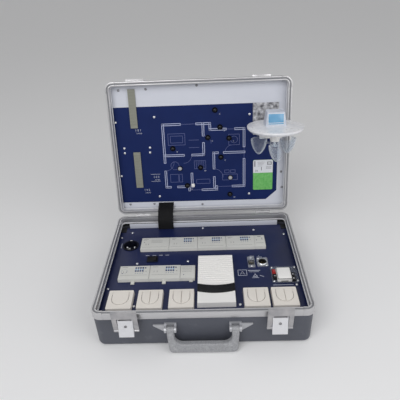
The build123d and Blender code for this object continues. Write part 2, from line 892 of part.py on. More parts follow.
# DIN rails on stand-offs, and the devices on them
with BuildPart() as rails:
    for start, length, row_y in (
        (rear_row_x, rear_row_length, rear_row_y),
        (front_row_x, front_row_length, front_row_y),
    ):
        with BuildSketch(Plane.YZ.offset(start - din_end)):
            with Locations((row_y, din_top_z - din_sheet / 2)):
                Rectangle(din_width, din_sheet)
            with Locations((row_y, din_top_z - din_height / 2)):
                Rectangle(din_hat, din_height)
            with Locations((row_y, din_top_z - din_height / 2 + din_sheet)):
                Rectangle(din_hat - 2 * din_sheet, din_height, mode=Mode.SUBTRACT)
        extrude(amount=length + 2 * din_end)
with BuildPart() as standoffs:
    for start, length, row_y in (
        (rear_row_x, rear_row_length, rear_row_y),
        (front_row_x, front_row_length, front_row_y),
    ):
        with BuildSketch(Plane.XY.offset(floor_thickness)):
            with Locations((start + standoff_radius, row_y), (start + length - standoff_radius, row_y)):
                Circle(standoff_radius)
        extrude(amount=din_top_z - din_height - floor_thickness)
save("din_rails", rails, standoffs)


def device_profile(row_y, reach):
    """Side outline of a rail device: feet round the rail, body, and the nose in the panel."""
    half_body = body_depth / 2
    half_rail = din_width / 2 + cutout_gap
    half_nose = nose_depth / 2
    with BuildSketch() as outline:
        with BuildLine():
            Polyline(
                (row_y - half_body, module_foot_z),
                (row_y - half_rail, module_foot_z),
                (row_y - half_rail, din_top_z),
                (row_y + half_rail, din_top_z),
                (row_y + half_rail, module_foot_z),
                (row_y + half_body, module_foot_z),
                (row_y + half_body, module_shoulder_z),
                (row_y + half_nose - reach, module_shoulder_z),
                (row_y + half_nose - reach, module_face_z),
                (row_y - half_nose, module_face_z),
                (row_y - half_nose, module_shoulder_z),
                (row_y - half_body, module_shoulder_z),
                close=True,
            )
        make_face()
    return outline.sketch


def device(left, width, row_y, reach=0.0):
    """One rail device between two x places, less a hairline gap to its neighbour."""
    with BuildPart() as housing:
        with BuildSketch(Plane.YZ.offset(left + device_gap / 2)):
            add(device_profile(row_y, reach))
        extrude(amount=width - device_gap)
    return housing.part


key_group_width = (key_columns - 1) * key_pitch + key_size
key_group_depth = (key_rows - 1) * key_row_pitch + key_length
switch_modules = (
    ("1", rear_row_x + module_width, rear_row_y),
    ("2", rear_row_x + 2 * module_width, rear_row_y),
    ("3", rear_row_x + 3 * module_width, rear_row_y),
    ("4", front_row_x, front_row_y),
    ("5", front_row_x + module_width, front_row_y),
)


def key_centre(left, row_y):
    """Middle of a module's key group."""
    return (
        left + key_left + key_group_width / 2,
        row_y + nose_depth / 2 - key_rear_edge - key_group_depth / 2,
    )


with BuildPart() as power_supply:
    add(device(rear_row_x, module_width, rear_row_y))
save("power_supply_module", power_supply)

with BuildPart() as modules:
    for number, left, row_y in switch_modules:
        add(device(left, module_width, row_y))
        with BuildSketch(Plane.XY.offset(module_face_z)):
            with Locations(key_centre(left, row_y)):
                Rectangle(key_group_width + 2 * key_gap, key_group_depth + 2 * key_gap)
        extrude(amount=-key_pocket, mode=Mode.SUBTRACT)
save("switch_modules", modules)

with BuildPart() as line_devices:
    add(device(rear_row_x + 4 * module_width, rear_line_width, rear_row_y))
    add(device(front_row_x + 2 * module_width, front_line_width, front_row_y, line_step))
save("line_modules", line_devices)

for number, left, row_y in switch_modules:
    mat_z = module_face_z - key_pocket + key_travel + key_gap / 2
    centre_x, centre_y = key_centre(left, row_y)
    with BuildPart() as keypad:
        with BuildSketch(Plane.XY.offset(mat_z)):
            with Locations((centre_x, centre_y)):
                Rectangle(key_group_width, key_group_depth)
        extrude(amount=key_mat)
        with BuildSketch(Plane.XY.offset(mat_z + key_mat)):
            with Locations((centre_x, centre_y)):
                with GridLocations(key_pitch, key_row_pitch, key_columns, key_rows):
                    Rectangle(key_size, key_length)
        extrude(amount=key_height)
    save(f"keypad_{number}", keypad)

# Wall switches: an insert in the panel, a cover plate, and one rocker or two half rockers
plate_top = base_panel_z + plate_height


def rocker_outline(grow):
    """Outline of the rocker field, wider by a gap where asked: square above, round below."""
    radius = rocker_width / 2 + grow
    with Locations((0, rocker_arc_centre)):
        Circle(radius)
    with Locations((0, (rocker_arc_centre + rocker_top + grow) / 2)):
        Rectangle(2 * radius, rocker_top + grow - rocker_arc_centre)


with BuildPart() as inserts:
    with BuildSketch(panel_top):
        with Locations(*[(x, plate_y) for x in plate_centres]):
            Rectangle(carrier_size, carrier_size)
    extrude(amount=carrier_thickness)
    with BuildSketch(panel_top.offset(-insert_depth)):
        with Locations(*[(x, plate_y) for x in plate_centres]):
            Circle(insert_radius)
    extrude(amount=insert_depth)
    for x in plate_centres:
        for side in (-1, 1):
            cheek_x = x + side * (rocker_width / 2 + rocker_gap + axle_cheek / 2)
            with BuildSketch(Plane.YZ.offset(cheek_x)):
                with Locations((rocker_y, rocker_pivot_z)):
                    Circle(rocker_hub_radius)
                with Locations((rocker_y, (base_panel_z + rocker_pivot_z) / 2)):
                    Rectangle(2 * rocker_hub_radius, rocker_pivot_z - base_panel_z)
            extrude(amount=axle_cheek / 2, both=True)
        with BuildSketch(Plane.YZ.offset(x)):
            with Locations((rocker_y, rocker_pivot_z)):
                Circle(rocker_axle_radius)
        extrude(amount=rocker_width / 2 + rocker_gap + axle_cheek, both=True)
save("switch_inserts", inserts)

with BuildPart() as plates:
    cavity = plate_size - 2 * plate_shell
    for x in plate_centres:
        with BuildSketch(panel_top):
            with Locations((x, plate_y)):
                RectangleRounded(plate_size, plate_size, plate_corner)
        extrude(amount=plate_height, taper=plate_draft)
        with BuildSketch(panel_top):
            with Locations((x, plate_y)):
                Rectangle(cavity, cavity)
        extrude(amount=plate_height - plate_shell, taper=plate_draft, mode=Mode.SUBTRACT)
        with BuildSketch(Plane(origin=(x, plate_y, base_panel_z))):
            rocker_outline(rocker_gap)
        extrude(amount=plate_height, mode=Mode.SUBTRACT)
save("switch_plates", plates)


def rocker(x, left, right, name):
    """A rocker on the axle of one switch, between two places left and right of its middle."""
    with BuildPart() as cap:
        with BuildSketch(Plane(origin=(x, plate_y, plate_top - rocker_thickness))):
            rocker_outline(0)
            with Locations(((left + right) / 2, 0)):
                Rectangle(right - left, 2 * plate_size, mode=Mode.INTERSECT)
        extrude(amount=rocker_thickness + rocker_crown)
        fillet(cap.faces().sort_by(Axis.Z)[-1].edges(), radius=rocker_edge)
        with BuildSketch(Plane.YZ.offset(x + left)):
            with Locations((rocker_y, rocker_pivot_z)):
                Circle(rocker_hub_radius)
        extrude(amount=right - left)
        with BuildSketch(Plane.YZ.offset(x)):
            with Locations((rocker_y, rocker_pivot_z)):
                Circle(rocker_axle_radius + pin_clearance)
        extrude(amount=plate_size, both=True, mode=Mode.SUBTRACT)
    save(name, cap)


rocker(plate_centres[0], -rocker_width / 2, rocker_width / 2, "rocker_1")
for number, x in enumerate(plate_centres[1:], start=2):
    rocker(x, -rocker_width / 2, -rocker_split / 2, f"rocker_{number}_left")
    rocker(x, rocker_split / 2, rocker_width / 2, f"rocker_{number}_right")

# Presence sensor: base plate, ribbed cover, glossy curved visor and front lip
sensor_x = (sensor_left + sensor_right) / 2
sensor_width = sensor_right - sensor_left
sensor_z = base_panel_z + sensor_base_thickness


def bowed_edge(start, end, bow):
    """An edge across the sensor: straight, or bowed towards the front."""
    if bow > 0:
        return ThreePointArc(start, (sensor_x, start[1] - bow), end)
    return Line(start, end)


def bowed_field(rear, front, rear_bow, front_bow):
    """A field across the sensor between a rear and a front edge."""
    with BuildSketch() as outline:
        with BuildLine():
            Line((sensor_left, rear), (sensor_left, front))
            bowed_edge((sensor_left, front), (sensor_right, front), front_bow)
            Line((sensor_right, front), (sensor_right, rear))
            bowed_edge((sensor_right, rear), (sensor_left, rear), rear_bow)
        make_face()
    return outline.sketch


with BuildPart() as sensor_base:
    with BuildSketch(panel_top):
        add(bowed_field(sensor_rear, sensor_front, 0, 0))
    extrude(amount=sensor_base_thickness)
save("sensor_base", sensor_base)

with BuildPart() as sensor_cover:
    with BuildSketch(Plane.XY.offset(sensor_z)):
        add(bowed_field(sensor_rear, sensor_cover_front + sensor_bow, 0, sensor_bow))
    extrude(amount=sensor_cover_top - sensor_z, taper=sensor_draft)
    rib_count = int((sensor_rear - sensor_cover_front) / sensor_rib_pitch)
    with BuildSketch(Plane.XY.offset(sensor_cover_top)):
        with Locations((sensor_x, (sensor_rear + sensor_cover_front) / 2)):
            with GridLocations(1, sensor_rib_pitch, 1, rib_count - 1):
                Rectangle(sensor_width, sensor_rib_pitch - sensor_rib_width)
    extrude(amount=-sensor_rib_depth, mode=Mode.SUBTRACT)
with BuildPart() as visor:
    with BuildSketch(Plane.XY.offset(sensor_z)):
        visor_rear = sensor_cover_front + sensor_bow
        visor_front = sensor_visor_front + sensor_bow
        add(bowed_field(visor_rear, visor_front, sensor_bow, sensor_bow))
    extrude(amount=sensor_cover_top - sensor_z)
save("sensor_visor", visor)

with BuildPart() as lip:
    with BuildSketch(Plane.XY.offset(sensor_z)):
        add(bowed_field(visor_front, sensor_front, sensor_bow, 0))
    extrude(amount=sensor_lip_top - sensor_z, taper=sensor_draft)
save("sensor_cover", sensor_cover, lip)

# Mains socket: flanged round body with a deep recess, and its bright contacts
with BuildPart() as mains_socket:
    with BuildSketch(panel_top):
        with Locations((mains_x, mains_y)):
            Circle(mains_flange_radius)
    extrude(amount=mains_flange_height)
    with BuildSketch(panel_top.offset(-mains_body_depth)):
        with Locations((mains_x, mains_y)):
            Circle(mains_body_radius)
    extrude(amount=mains_body_depth)
    with BuildSketch(panel_top.offset(mains_flange_height - mains_recess_depth)):
        with Locations((mains_x, mains_y)):
            Circle(mains_recess_radius)
    extrude(amount=mains_recess_depth, mode=Mode.SUBTRACT)
    with BuildSketch(panel_top.offset(mains_flange_height - mains_recess_depth)):
        with Locations((mains_x, mains_y)):
            with GridLocations(mains_pin_spacing, 1, 2, 1):
                Circle(mains_pin_radius)
    extrude(amount=-mains_pin_depth, mode=Mode.SUBTRACT)
with BuildPart() as contacts:
    for side in (-1, 1):
        with BuildSketch(panel_top.offset(mains_flange_height - mains_recess_depth)):
            with Locations((mains_x, mains_y + side * (mains_recess_radius - contact_depth))):
                Rectangle(contact_width, contact_depth)
        extrude(amount=mains_recess_depth - contact_depth)
save("mains_socket", mains_socket, contacts)

# Mains switch with a rocker on an axle
with BuildPart() as power_housing:
    with BuildSketch(panel_top):
        with Locations((power_x, power_y)):
            RectangleRounded(power_width, power_depth, 2)
    extrude(amount=power_bezel_height)
    with BuildSketch(Plane.XY.offset(power_body_low)):
        with Locations((power_x, power_y)):
            Rectangle(power_body_width, power_body_depth)
    extrude(amount=base_panel_z - power_body_low)
    with BuildSketch(panel_top.offset(power_bezel_height)):
        with Locations((power_x, power_y)):
            Rectangle(
                power_rocker_length + 2 * power_pocket_gap, power_rocker_width + 2 * power_pocket_gap
            )
    extrude(amount=-power_pocket_depth, mode=Mode.SUBTRACT)
    with BuildSketch(Plane.XZ.offset(-power_y)):
        with Locations((power_x, power_pivot_z)):
            Circle(rocker_axle_radius)
    extrude(amount=power_body_depth / 2, both=True)
save("power_switch_housing", power_housing)

power_tilted = Plane(
    origin=(power_x, power_y, power_pivot_z),
    x_dir=(cos(radians(power_tilt)), 0, sin(radians(power_tilt))),
    z_dir=(0, -1, 0),
)
with BuildPart() as power_rocker:
    half = power_rocker_length / 2
    with BuildSketch(power_tilted):
        with BuildLine():
            Polyline(
                (-half, power_rocker_rise),
                (0, power_rocker_dip + rocker_axle_radius),
                (half, power_rocker_rise),
                (half, 0),
                (half / 2, -power_rocker_low),
                (-half / 2, -power_rocker_low),
                (-half, 0),
                close=True,
            )
        make_face()
        Circle(rocker_axle_radius + pin_clearance, mode=Mode.SUBTRACT)
    extrude(amount=power_rocker_width / 2, both=True)
save("power_rocker", power_rocker)

# Data sockets: two metal flanges, each with a black body that hangs through the panel
with BuildPart() as flanges:
    with BuildSketch(panel_top):
        with Locations((network_x, network_y)):
            RectangleRounded(network_width, network_length, 1)
        with Locations((network_x, network_socket_y)):
            Rectangle(network_socket, network_socket, mode=Mode.SUBTRACT)
    extrude(amount=flange_thickness)
    with BuildSketch(panel_top):
        with Locations((round_x, round_y)):
            RectangleRounded(round_width, round_length, 3)
            Circle(round_body_radius, mode=Mode.SUBTRACT)
    extrude(amount=flange_thickness)
with BuildPart() as data_sockets:
    with BuildSketch(panel_top.offset(flange_thickness)):
        with Locations((network_x, network_socket_y)):
            Rectangle(network_socket, network_socket)
    extrude(amount=-network_body_depth)
    with BuildSketch(panel_top.offset(flange_thickness)):
        with Locations((network_x, network_socket_y)):
            Rectangle(network_opening, network_opening * 0.8)
    extrude(amount=-socket_depth, mode=Mode.SUBTRACT)
    with BuildSketch(panel_top.offset(flange_thickness)):
        with Locations((round_x, round_y)):
            Circle(round_body_radius)
    extrude(amount=-round_body_depth)
    with BuildSketch(panel_top.offset(flange_thickness)):
        with Locations((round_x, round_y)):
            Circle(round_socket_radius)
    extrude(amount=-socket_depth, mode=Mode.SUBTRACT)
save("data_sockets", flanges, data_sockets)

# Demonstration unit: clear base, white box and its clamps
demo_x = (demo_left + demo_right) / 2
demo_y = (demo_rear + demo_front) / 2
demo_z = base_panel_z + demo_base_thickness
with BuildPart() as demo_base:
    with BuildSketch(panel_top):
        with Locations((demo_x, demo_y)):
            RectangleRounded(demo_right - demo_left, demo_rear - demo_front, 3)
    extrude(amount=demo_base_thickness)
with BuildPart() as demo_box:
    with BuildSketch(Plane.XY.offset(demo_z)):
        with Locations(((demo_box_left + demo_box_right) / 2, (demo_box_rear + demo_front + 1) / 2)):
            RectangleRounded(
                demo_box_right - demo_box_left, demo_box_rear - demo_front - 1, 3
            )
    extrude(amount=demo_box_top - demo_z, taper=3)
with BuildPart() as demo_clamps:
    for clamp_x, clamp_width in ((demo_left + 4, 6.0), (demo_box_right + 5, 5.0)):
        with BuildSketch(Plane.XY.offset(demo_z)):
            with Locations((clamp_x, (demo_box_rear + demo_front) / 2)):
                Rectangle(clamp_width, demo_clamp_length)
        extrude(amount=demo_clamp_top - demo_z)
save("demo_unit", demo_base, demo_box, demo_clamps)

# Cable sleeve over the two rims, a flat band on straight runs and arcs
with BuildPart() as sleeve:
    with BuildSketch(Plane.YZ.offset(sleeve_x)):
        with BuildLine():
            FilletPolyline(*sleeve_route, radius=sleeve_radii)
        trace(line_width=sleeve_thickness)
    extrude(amount=sleeve_width / 2, both=True)
save("cable_sleeve", sleeve)

# Lid panel and its supports
lid_mid = up_lid((lid_panel_low + lid_panel_high) / 2)
with BuildPart() as lid_panel:
    with BuildSketch(lid_face):
        with Locations((0, lid_mid)):
            RectangleRounded(
                2 * lid_panel_half_width, lid_panel_high - lid_panel_low, lid_panel_corner
            )
        with Locations((sleeve_x, up_lid(sleeve_lid_height))):
            Rectangle(sleeve_width + 2 * sleeve_slot_gap, sleeve_lid_slot, mode=Mode.SUBTRACT)
    extrude(amount=-panel_thickness)
save("lid_panel", lid_panel)

with BuildPart() as lid_supports:
    for side in (-1, 1):
        with BuildSketch(lid_face.offset(-panel_thickness)):
            with Locations((side * (inner_width - rail_width) / 2, 0)):
                Rectangle(rail_width, inner_depth - 2 * inner_radius - 2 * panel_gap)
        extrude(amount=-rail_depth)
save("lid_panel_supports", lid_supports)

with BuildPart() as blinds:
    for x, middle in blind_places:
        with BuildSketch(lid_face):
            with Locations((x, up_lid(middle))):
                Rectangle(blind_width, blind_height)
        extrude(amount=blind_proud)
        slats = int(blind_height / blind_slat_pitch) - 1
        with BuildSketch(lid_face.offset(blind_proud)):
            with Locations((x, up_lid(middle))):
                with GridLocations(1, blind_slat_pitch, 1, slats):
                    Rectangle(blind_width - 4, blind_slat_pitch / 2)
        extrude(amount=-blind_slat_depth, mode=Mode.SUBTRACT)
save("blind_windows", blinds)

with BuildPart() as lamps:
    with BuildSketch(lid_face):
        with Locations(*[(x, up_lid(height)) for x, height in lamp_places]):
            Circle(lamp_base_radius)
    extrude(amount=lamp_base_height)
    with BuildSketch(lid_face.offset(lamp_base_height)):
        with Locations(*[(x, up_lid(height)) for x, height in lamp_places]):
            Circle(lamp_radius)
    extrude(amount=lamp_height - lamp_base_height, taper=15)
save("led_lamps", lamps)

with BuildPart() as card:
    with BuildSketch(lid_face):
        with Locations((card_x, up_lid(card_s))):
            RectangleRounded(card_width, card_height, 3)
    extrude(amount=card_thickness)
save("info_card", card)

lid_places = list(lid_inner_screws)
lid_places += [(inset - lid_panel_half_width, height) for inset, height in lid_left_screws]
lid_places += [(lid_panel_half_width - inset, height) for inset, height in lid_right_screws]
lid_places += [(x, lid_panel_high - inset) for x, inset in lid_high_screws]
lid_places += [(x, lid_panel_low + inset) for x, inset in lid_low_screws]
lid_screw_places = [(x, up_lid(height)) for x, height in lid_places]
with BuildPart() as lid_screw_heads:
    with BuildSketch(lid_face):
        with Locations(*lid_screw_places):
            Circle(screw_head_radius)
    extrude(amount=screw_head_height, taper=20)
save("lid_panel_screws", lid_screw_heads)

# Weather station: bracket with a rail on the lid, and the station that slides off it
station_y = up_lid(station_s)
rail_y = up_lid(station_s - rail_drop)
with BuildPart() as station_bracket:
    with BuildSketch(lid_face):
        with Locations((bracket_x, up_lid((bracket_plate_low + bracket_plate_high) / 2))):
            Rectangle(bracket_plate_width, bracket_plate_high - bracket_plate_low)
    extrude(amount=bracket_plate_thickness)
    with BuildSketch(lid_face):
        with Locations((station_x, rail_y)):
            Rectangle(rail_length, rail_web)
    extrude(amount=rail_flange_out)
    with BuildSketch(lid_face.offset(rail_flange_out)):
        with Locations((station_x, rail_y)):
            Rectangle(rail_length, rail_flange)
    extrude(amount=rail_flange_thickness)
save("station_bracket", station_bracket)

shoe_top = rail_flange_out + rail_flange_thickness + slide_gap + shoe_wall
with BuildPart() as station_body:
    with BuildSketch(lid_face.offset(rail_clear_out)):
        with Locations((station_x, rail_y)):
            Rectangle(rail_length, shoe_height)
    extrude(amount=shoe_top - rail_clear_out)
    with BuildSketch(lid_face.offset(rail_clear_out)):
        with Locations((station_x, rail_y)):
            Rectangle(2 * rail_length, rail_web + 2 * slide_gap)
    extrude(amount=rail_flange_out - rail_clear_out, mode=Mode.SUBTRACT)
    with BuildSketch(lid_face.offset(rail_flange_out - slide_gap)):
        with Locations((station_x, rail_y)):
            Rectangle(2 * rail_length, rail_flange + 2 * slide_gap)
    extrude(amount=rail_flange_thickness + 2 * slide_gap, mode=Mode.SUBTRACT)
    with BuildSketch(lid_face.offset(shoe_top)):
        with Locations((station_x, station_y - arm_drop)):
            RectangleRounded(arm_width, arm_height, arm_corner)
    extrude(amount=station_out - shoe_top)
    with BuildSketch(disc_plane):
        Circle(hub_radius)
    extrude(amount=-hub_height, taper=hub_draft)
    with BuildSketch(disc_plane.offset(-hub_height)):
        Circle(axle_radius)
    extrude(amount=-axle_length)
save("station_body", station_body)

disc_side = Plane(origin=disc_plane.origin, x_dir=(1, 0, 0), z_dir=disc_side_normal)
with BuildPart() as disc:
    with BuildSketch(disc_side):
        with BuildLine():
            Polyline(
                (0, 0),
                (disc_radius - disc_edge, 0),
                (disc_radius, disc_edge),
                (disc_radius, disc_rim),
                (0, disc_rim + disc_dome),
                close=True,
            )
        make_face()
    revolve(axis=Axis(disc_plane.origin, disc_plane.z_dir))
save("station_disc", disc)

with BuildPart() as head:
    with BuildSketch(disc_plane.offset(disc_rim)) as head_low:
        with Locations((0, head_shift)):
            RectangleRounded(head_width, head_depth, 4)
    with BuildSketch(disc_plane.offset(disc_rim + disc_dome + head_height)):
        with Locations((0, head_shift)):
            RectangleRounded(head_top_width, head_depth - head_setback, 4)
    loft()
    with BuildSketch(disc_side):
        with BuildLine():
            Polyline(
                (0, 0),
                (disc_radius, 0),
                (disc_radius, disc_rim),
                (0, disc_rim + disc_dome),
                close=True,
            )
        make_face()
    revolve(axis=Axis(disc_plane.origin, disc_plane.z_dir), mode=Mode.SUBTRACT)
save("station_head", head)

# Cup wheel on the axle below the hub: one hollow cup, cut open on one side, three times
with BuildPart() as cup:
    with BuildSketch(Plane.XZ):
        add(cup_profile(cup_radius, cup_height))
    revolve(axis=Axis.Z)
    with BuildSketch(Plane.XZ):
        add(cup_profile(cup_radius - cup_wall, cup_height - cup_wall))
    revolve(axis=Axis.Z, mode=Mode.SUBTRACT)
    with BuildSketch(Plane.XY.offset(cup_wall)):
        with Locations((0, cup_cut + cup_radius)):
            Rectangle(3 * cup_radius, 2 * cup_radius)
    extrude(amount=-2 * cup_height, mode=Mode.SUBTRACT)

with BuildPart() as wheel:
    with BuildSketch():
        Circle(wheel_hub_radius)
    extrude(amount=-wheel_hub_height)
    for turn in range(cup_count):
        angle = radians(cup_start + turn * 360 / cup_count)
        radial = Vector(cos(angle), sin(angle), 0)
        arm_start = (0, 0, -wheel_hub_height / 2)
        with BuildSketch(Plane(origin=arm_start, x_dir=(0, 0, 1), z_dir=radial)):
            Circle(wheel_arm_radius)
        extrude(amount=cup_orbit - cup_radius + 2 * cup_wall)
        cup_plane = Plane(origin=radial * cup_orbit, x_dir=radial, z_dir=(0, 0, 1))
        add(cup.part.moved(cup_plane.location))
    with BuildSketch():
        Circle(axle_radius + pin_clearance)
    extrude(amount=-cup_height, mode=Mode.SUBTRACT)

with BuildPart() as cup_wheel:
    add(wheel.part.moved(disc_plane.offset(-hub_height - wheel_gap).location))
save("cup_wheel", cup_wheel)
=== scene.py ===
import math

import bmesh
import bpy
from mathutils import Matrix, Vector


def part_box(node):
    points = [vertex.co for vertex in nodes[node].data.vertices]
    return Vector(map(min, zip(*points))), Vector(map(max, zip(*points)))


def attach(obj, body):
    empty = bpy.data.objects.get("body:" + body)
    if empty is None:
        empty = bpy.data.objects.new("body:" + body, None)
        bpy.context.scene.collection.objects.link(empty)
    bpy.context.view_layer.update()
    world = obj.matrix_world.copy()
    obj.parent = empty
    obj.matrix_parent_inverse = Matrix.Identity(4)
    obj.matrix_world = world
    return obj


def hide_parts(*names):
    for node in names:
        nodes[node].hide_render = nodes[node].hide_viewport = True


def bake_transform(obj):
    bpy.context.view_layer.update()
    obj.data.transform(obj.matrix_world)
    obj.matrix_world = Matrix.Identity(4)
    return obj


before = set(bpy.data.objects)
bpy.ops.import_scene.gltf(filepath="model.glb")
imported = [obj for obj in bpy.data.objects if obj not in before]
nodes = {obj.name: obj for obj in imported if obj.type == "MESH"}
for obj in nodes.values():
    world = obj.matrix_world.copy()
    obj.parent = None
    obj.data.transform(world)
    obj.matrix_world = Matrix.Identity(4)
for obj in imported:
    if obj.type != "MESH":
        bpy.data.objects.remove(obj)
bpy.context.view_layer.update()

# Places. Pieces are drawn in millimetres: on the base from the case's centre, on the open
# lid as (x, height up the lid, distance out of its panel), on the station about its disc.
MM = 0.001
OPEN = math.radians(101.5)
TIP = math.radians(4)
PANEL = 73.0
SOCKET_FACE = 75.0
DEMO_FACE = 76.0
MODULE_FACE = 82.0
MODULE_WIDTH = 72
LID_MIDDLE = 175.0
lid_up = Vector((0, -math.cos(OPEN), math.sin(OPEN)))
lid_out = Vector((0, -math.sin(OPEN), -math.cos(OPEN)))
lid_foot = Vector((0, 200.16, 98.55))
# Middles of the data sockets, the switches and the groups of keys
SQUARE_SOCKET = (115.5, 0.5)
ROUND_SOCKET = (142.0, 2.0)
SWITCHES = (-179.0, -114.0, -45.8, 115.7, 176.3)
KEYPADS = ((-39, 85.25), (33, 85.25), (105, 85.25), (-149, -22.5), (-77, -22.5))
# Heights of print on the lid, on the base panel and on the devices
PRINT_LOW = 0.2
PRINT_HIGH = 0.32
MARKS = (PANEL + 0.02, PANEL + 0.14)
DEVICE_PRINT = (MODULE_FACE + 0.02, MODULE_FACE + 0.12)
# Points that are nearer than this, in millimetres, become one
TURNED_WELD = 0.0005
DIGITS_WELD = 0.001
CORNER_STEPS = 5


def axes(x_axis, y_axis, z_axis, origin):
    """Matrix with these columns, from millimetres to the row frame's metres."""
    turn = Matrix((x_axis, y_axis, z_axis)).transposed().to_4x4()
    return Matrix.Scale(MM, 4) @ Matrix.Translation(origin) @ turn


right = Vector((1, 0, 0))
ON_BASE = Matrix.Scale(MM, 4)
ON_LID = axes(right, lid_up, lid_out, lid_foot)
# Middle of the station's disc
disc_middle = lid_foot + right * 178.5 + lid_up * 236.0 + lid_out * 99.0
disc_up = lid_up * math.cos(TIP) + lid_out * math.sin(TIP)
ON_STATION = axes(right, disc_up.cross(right), disc_up, disc_middle)


# Shapes


def block(bm, low, high, edge=0.0, segments=2):
    """A box between two corners, with its edges rounded."""
    low, high = Vector(low), Vector(high)
    made = bmesh.ops.create_cube(bm, size=1.0)["verts"]
    size = Matrix.Diagonal((*(high - low), 1.0))
    bmesh.ops.transform(bm, matrix=Matrix.Translation((low + high) / 2) @ size, verts=made)
    if edge:
        edges = list({e for v in made for e in v.link_edges})
        bmesh.ops.bevel(
            bm, geom=edges, offset=edge, affect="EDGES", segments=segments, profile=0.5,
            material=-1,
        )


def pad(bm, middle, reach, low, high, edge=0.0, segments=2):
    """A block about a middle, with its reach to each side in x and y."""
    (x, y), (over, up) = middle, reach
    block(bm, (x - over, y - up, low), (x + over, y + up, high), edge, segments)


def raise_faces(bm, faces, height):
    """Extrude flat faces upwards."""
    lifted = bmesh.ops.extrude_face_region(bm, geom=faces)["geom"]
    tops = [v for v in lifted if isinstance(v, bmesh.types.BMVert)]
    bmesh.ops.translate(bm, verts=tops, vec=(0, 0, height))


def plate(bm, points, low, high):
    """A flat piece with this outline between two heights."""
    verts = [bm.verts.new((x, y, low)) for x, y in points]
    raise_faces(bm, [bm.faces.new(verts)], high - low)


def turned(bm, profile, centre, steps):
    """A piece turned on a lathe: (radius, height) points spun about an upright axis."""
    cx, cy, cz = centre
    verts = [bm.verts.new((cx + r, cy, cz + z)) for r, z in profile]
    edges = [bm.edges.new(pair) for pair in zip(verts, verts[1:])]
    bmesh.ops.spin(
        bm, geom=verts + edges, cent=(cx, cy, cz), axis=(0, 0, 1), angle=2 * math.pi, steps=steps,
        use_merge=True,
    )
    bmesh.ops.remove_doubles(bm, verts=bm.verts, dist=TURNED_WELD)


def turned_at(bm, profile, places, height, steps):
    """The same turned piece at several places."""
    for x, y in places:
        turned(bm, profile, (x, y, height), steps)


def join(bm, part, place):
    """Turn a bmesh into place and put it into another."""
    bmesh.ops.transform(part, matrix=place, verts=part.verts)
    holder = bpy.data.meshes.new("joined")
    part.to_mesh(holder)
    part.free()
    bm.from_mesh(holder)
    bpy.data.meshes.remove(holder)


def add_object(name, data):
    """A new object in the scene."""
    made = bpy.data.objects.new(name, data)
    bpy.context.scene.collection.objects.link(made)
    return made


def stroke(bm, start, end, width, low, high):
    """A printed line: a thin strip from start to end."""
    a, b = Vector(start), Vector(end)
    along = (b - a).normalized() * (width / 2)
    side = Vector((-along.y, along.x))
    a, b = a - along, b + along
    corners = [a - side, b - side, b + side, a + side]
    plate(bm, [tuple(p) for p in corners], low, high)


def strokes(bm, points, width, low=PRINT_LOW, high=PRINT_HIGH):
    """A printed line through several points."""
    for start, end in zip(points, points[1:]):
        stroke(bm, start, end, width, low, high)


def outline_box(bm, x0, y0, x1, y1, width, low=PRINT_LOW, high=PRINT_HIGH):
    """The printed outline of a rectangle."""
    strokes(bm, [(x0, y0), (x1, y0), (x1, y1), (x0, y1), (x0, y0)], width, low, high)


def upright_lines(bm, places, y0, y1, width, low=PRINT_LOW, high=PRINT_HIGH):
    """Printed lines that run up the panel at these x places."""
    for x in places:
        stroke(bm, (x, y0), (x, y1), width, low, high)


def level_lines(bm, x0, x1, places, width, low=PRINT_LOW, high=PRINT_HIGH):
    """Printed lines that run across the panel at these y places."""
    for y in places:
        stroke(bm, (x0, y), (x1, y), width, low, high)


def arc_points(x, y, radius, start, end, count=10):
    """Points on an arc, in degrees."""
    turns = [math.radians(start + (end - start) * i / count) for i in range(count + 1)]
    return [(x + radius * math.cos(t), y + radius * math.sin(t)) for t in turns]


def rounded(x0, y0, x1, y1, radius):
    """Outline of a rectangle with round corners."""
    corners = (
        (x1 - radius, y1 - radius, 0),
        (x0 + radius, y1 - radius, 90),
        (x0 + radius, y0 + radius, 180),
        (x1 - radius, y0 + radius, 270),
    )
    points = []
    for x, y, start in corners:
        points += arc_points(x, y, radius, start, start + 90, CORNER_STEPS)
    return points


def number(bm, text, x, y, size, low=PRINT_LOW, high=PRINT_HIGH):
    """Printed digits, centred on x and y, about as high as their size."""
    font_share = 1.4
    curve = bpy.data.curves.new("digits", "FONT")
    curve.body = text
    curve.size = size * font_share
    curve.align_x = "CENTER"
    curve.align_y = "CENTER"
    curve.resolution_u = 2
    holder = add_object("digits", curve)
    flat = bpy.data.meshes.new_from_object(holder)
    bpy.data.objects.remove(holder)
    digits = bmesh.new()
    digits.from_mesh(flat)
    bpy.data.meshes.remove(flat)
    bmesh.ops.remove_doubles(digits, verts=digits.verts, dist=DIGITS_WELD)
    raise_faces(digits, digits.faces[:], high - low)
    join(bm, digits, Matrix.Translation((x, y, low)))


def piece(name, body, bm, material, place=ON_BASE, sharp=35):
    """Finish a bmesh as a piece that rides on a body."""
    bmesh.ops.transform(bm, matrix=place, verts=bm.verts)
    bmesh.ops.recalc_face_normals(bm, faces=bm.faces)
    mesh = bpy.data.meshes.new(name)
    bm.to_mesh(mesh)
    bm.free()
    mesh.shade_smooth()
    mesh.set_sharp_from_angle(angle=math.radians(sharp))
    mesh.materials.append(material)
    made = add_object(name, mesh)
    if body:
        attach(made, body)
    return made


# Materials


def tone(red, green, blue):
    """A colour read as it looks, from 0 to 255, as the linear values that a shader takes."""
    linear = []
    for value in (red, green, blue):
        share = value / 255
        linear.append(share / 12.92 if share <= 0.04045 else ((share + 0.055) / 1.055) ** 2.4)
    return (*linear, 1.0)


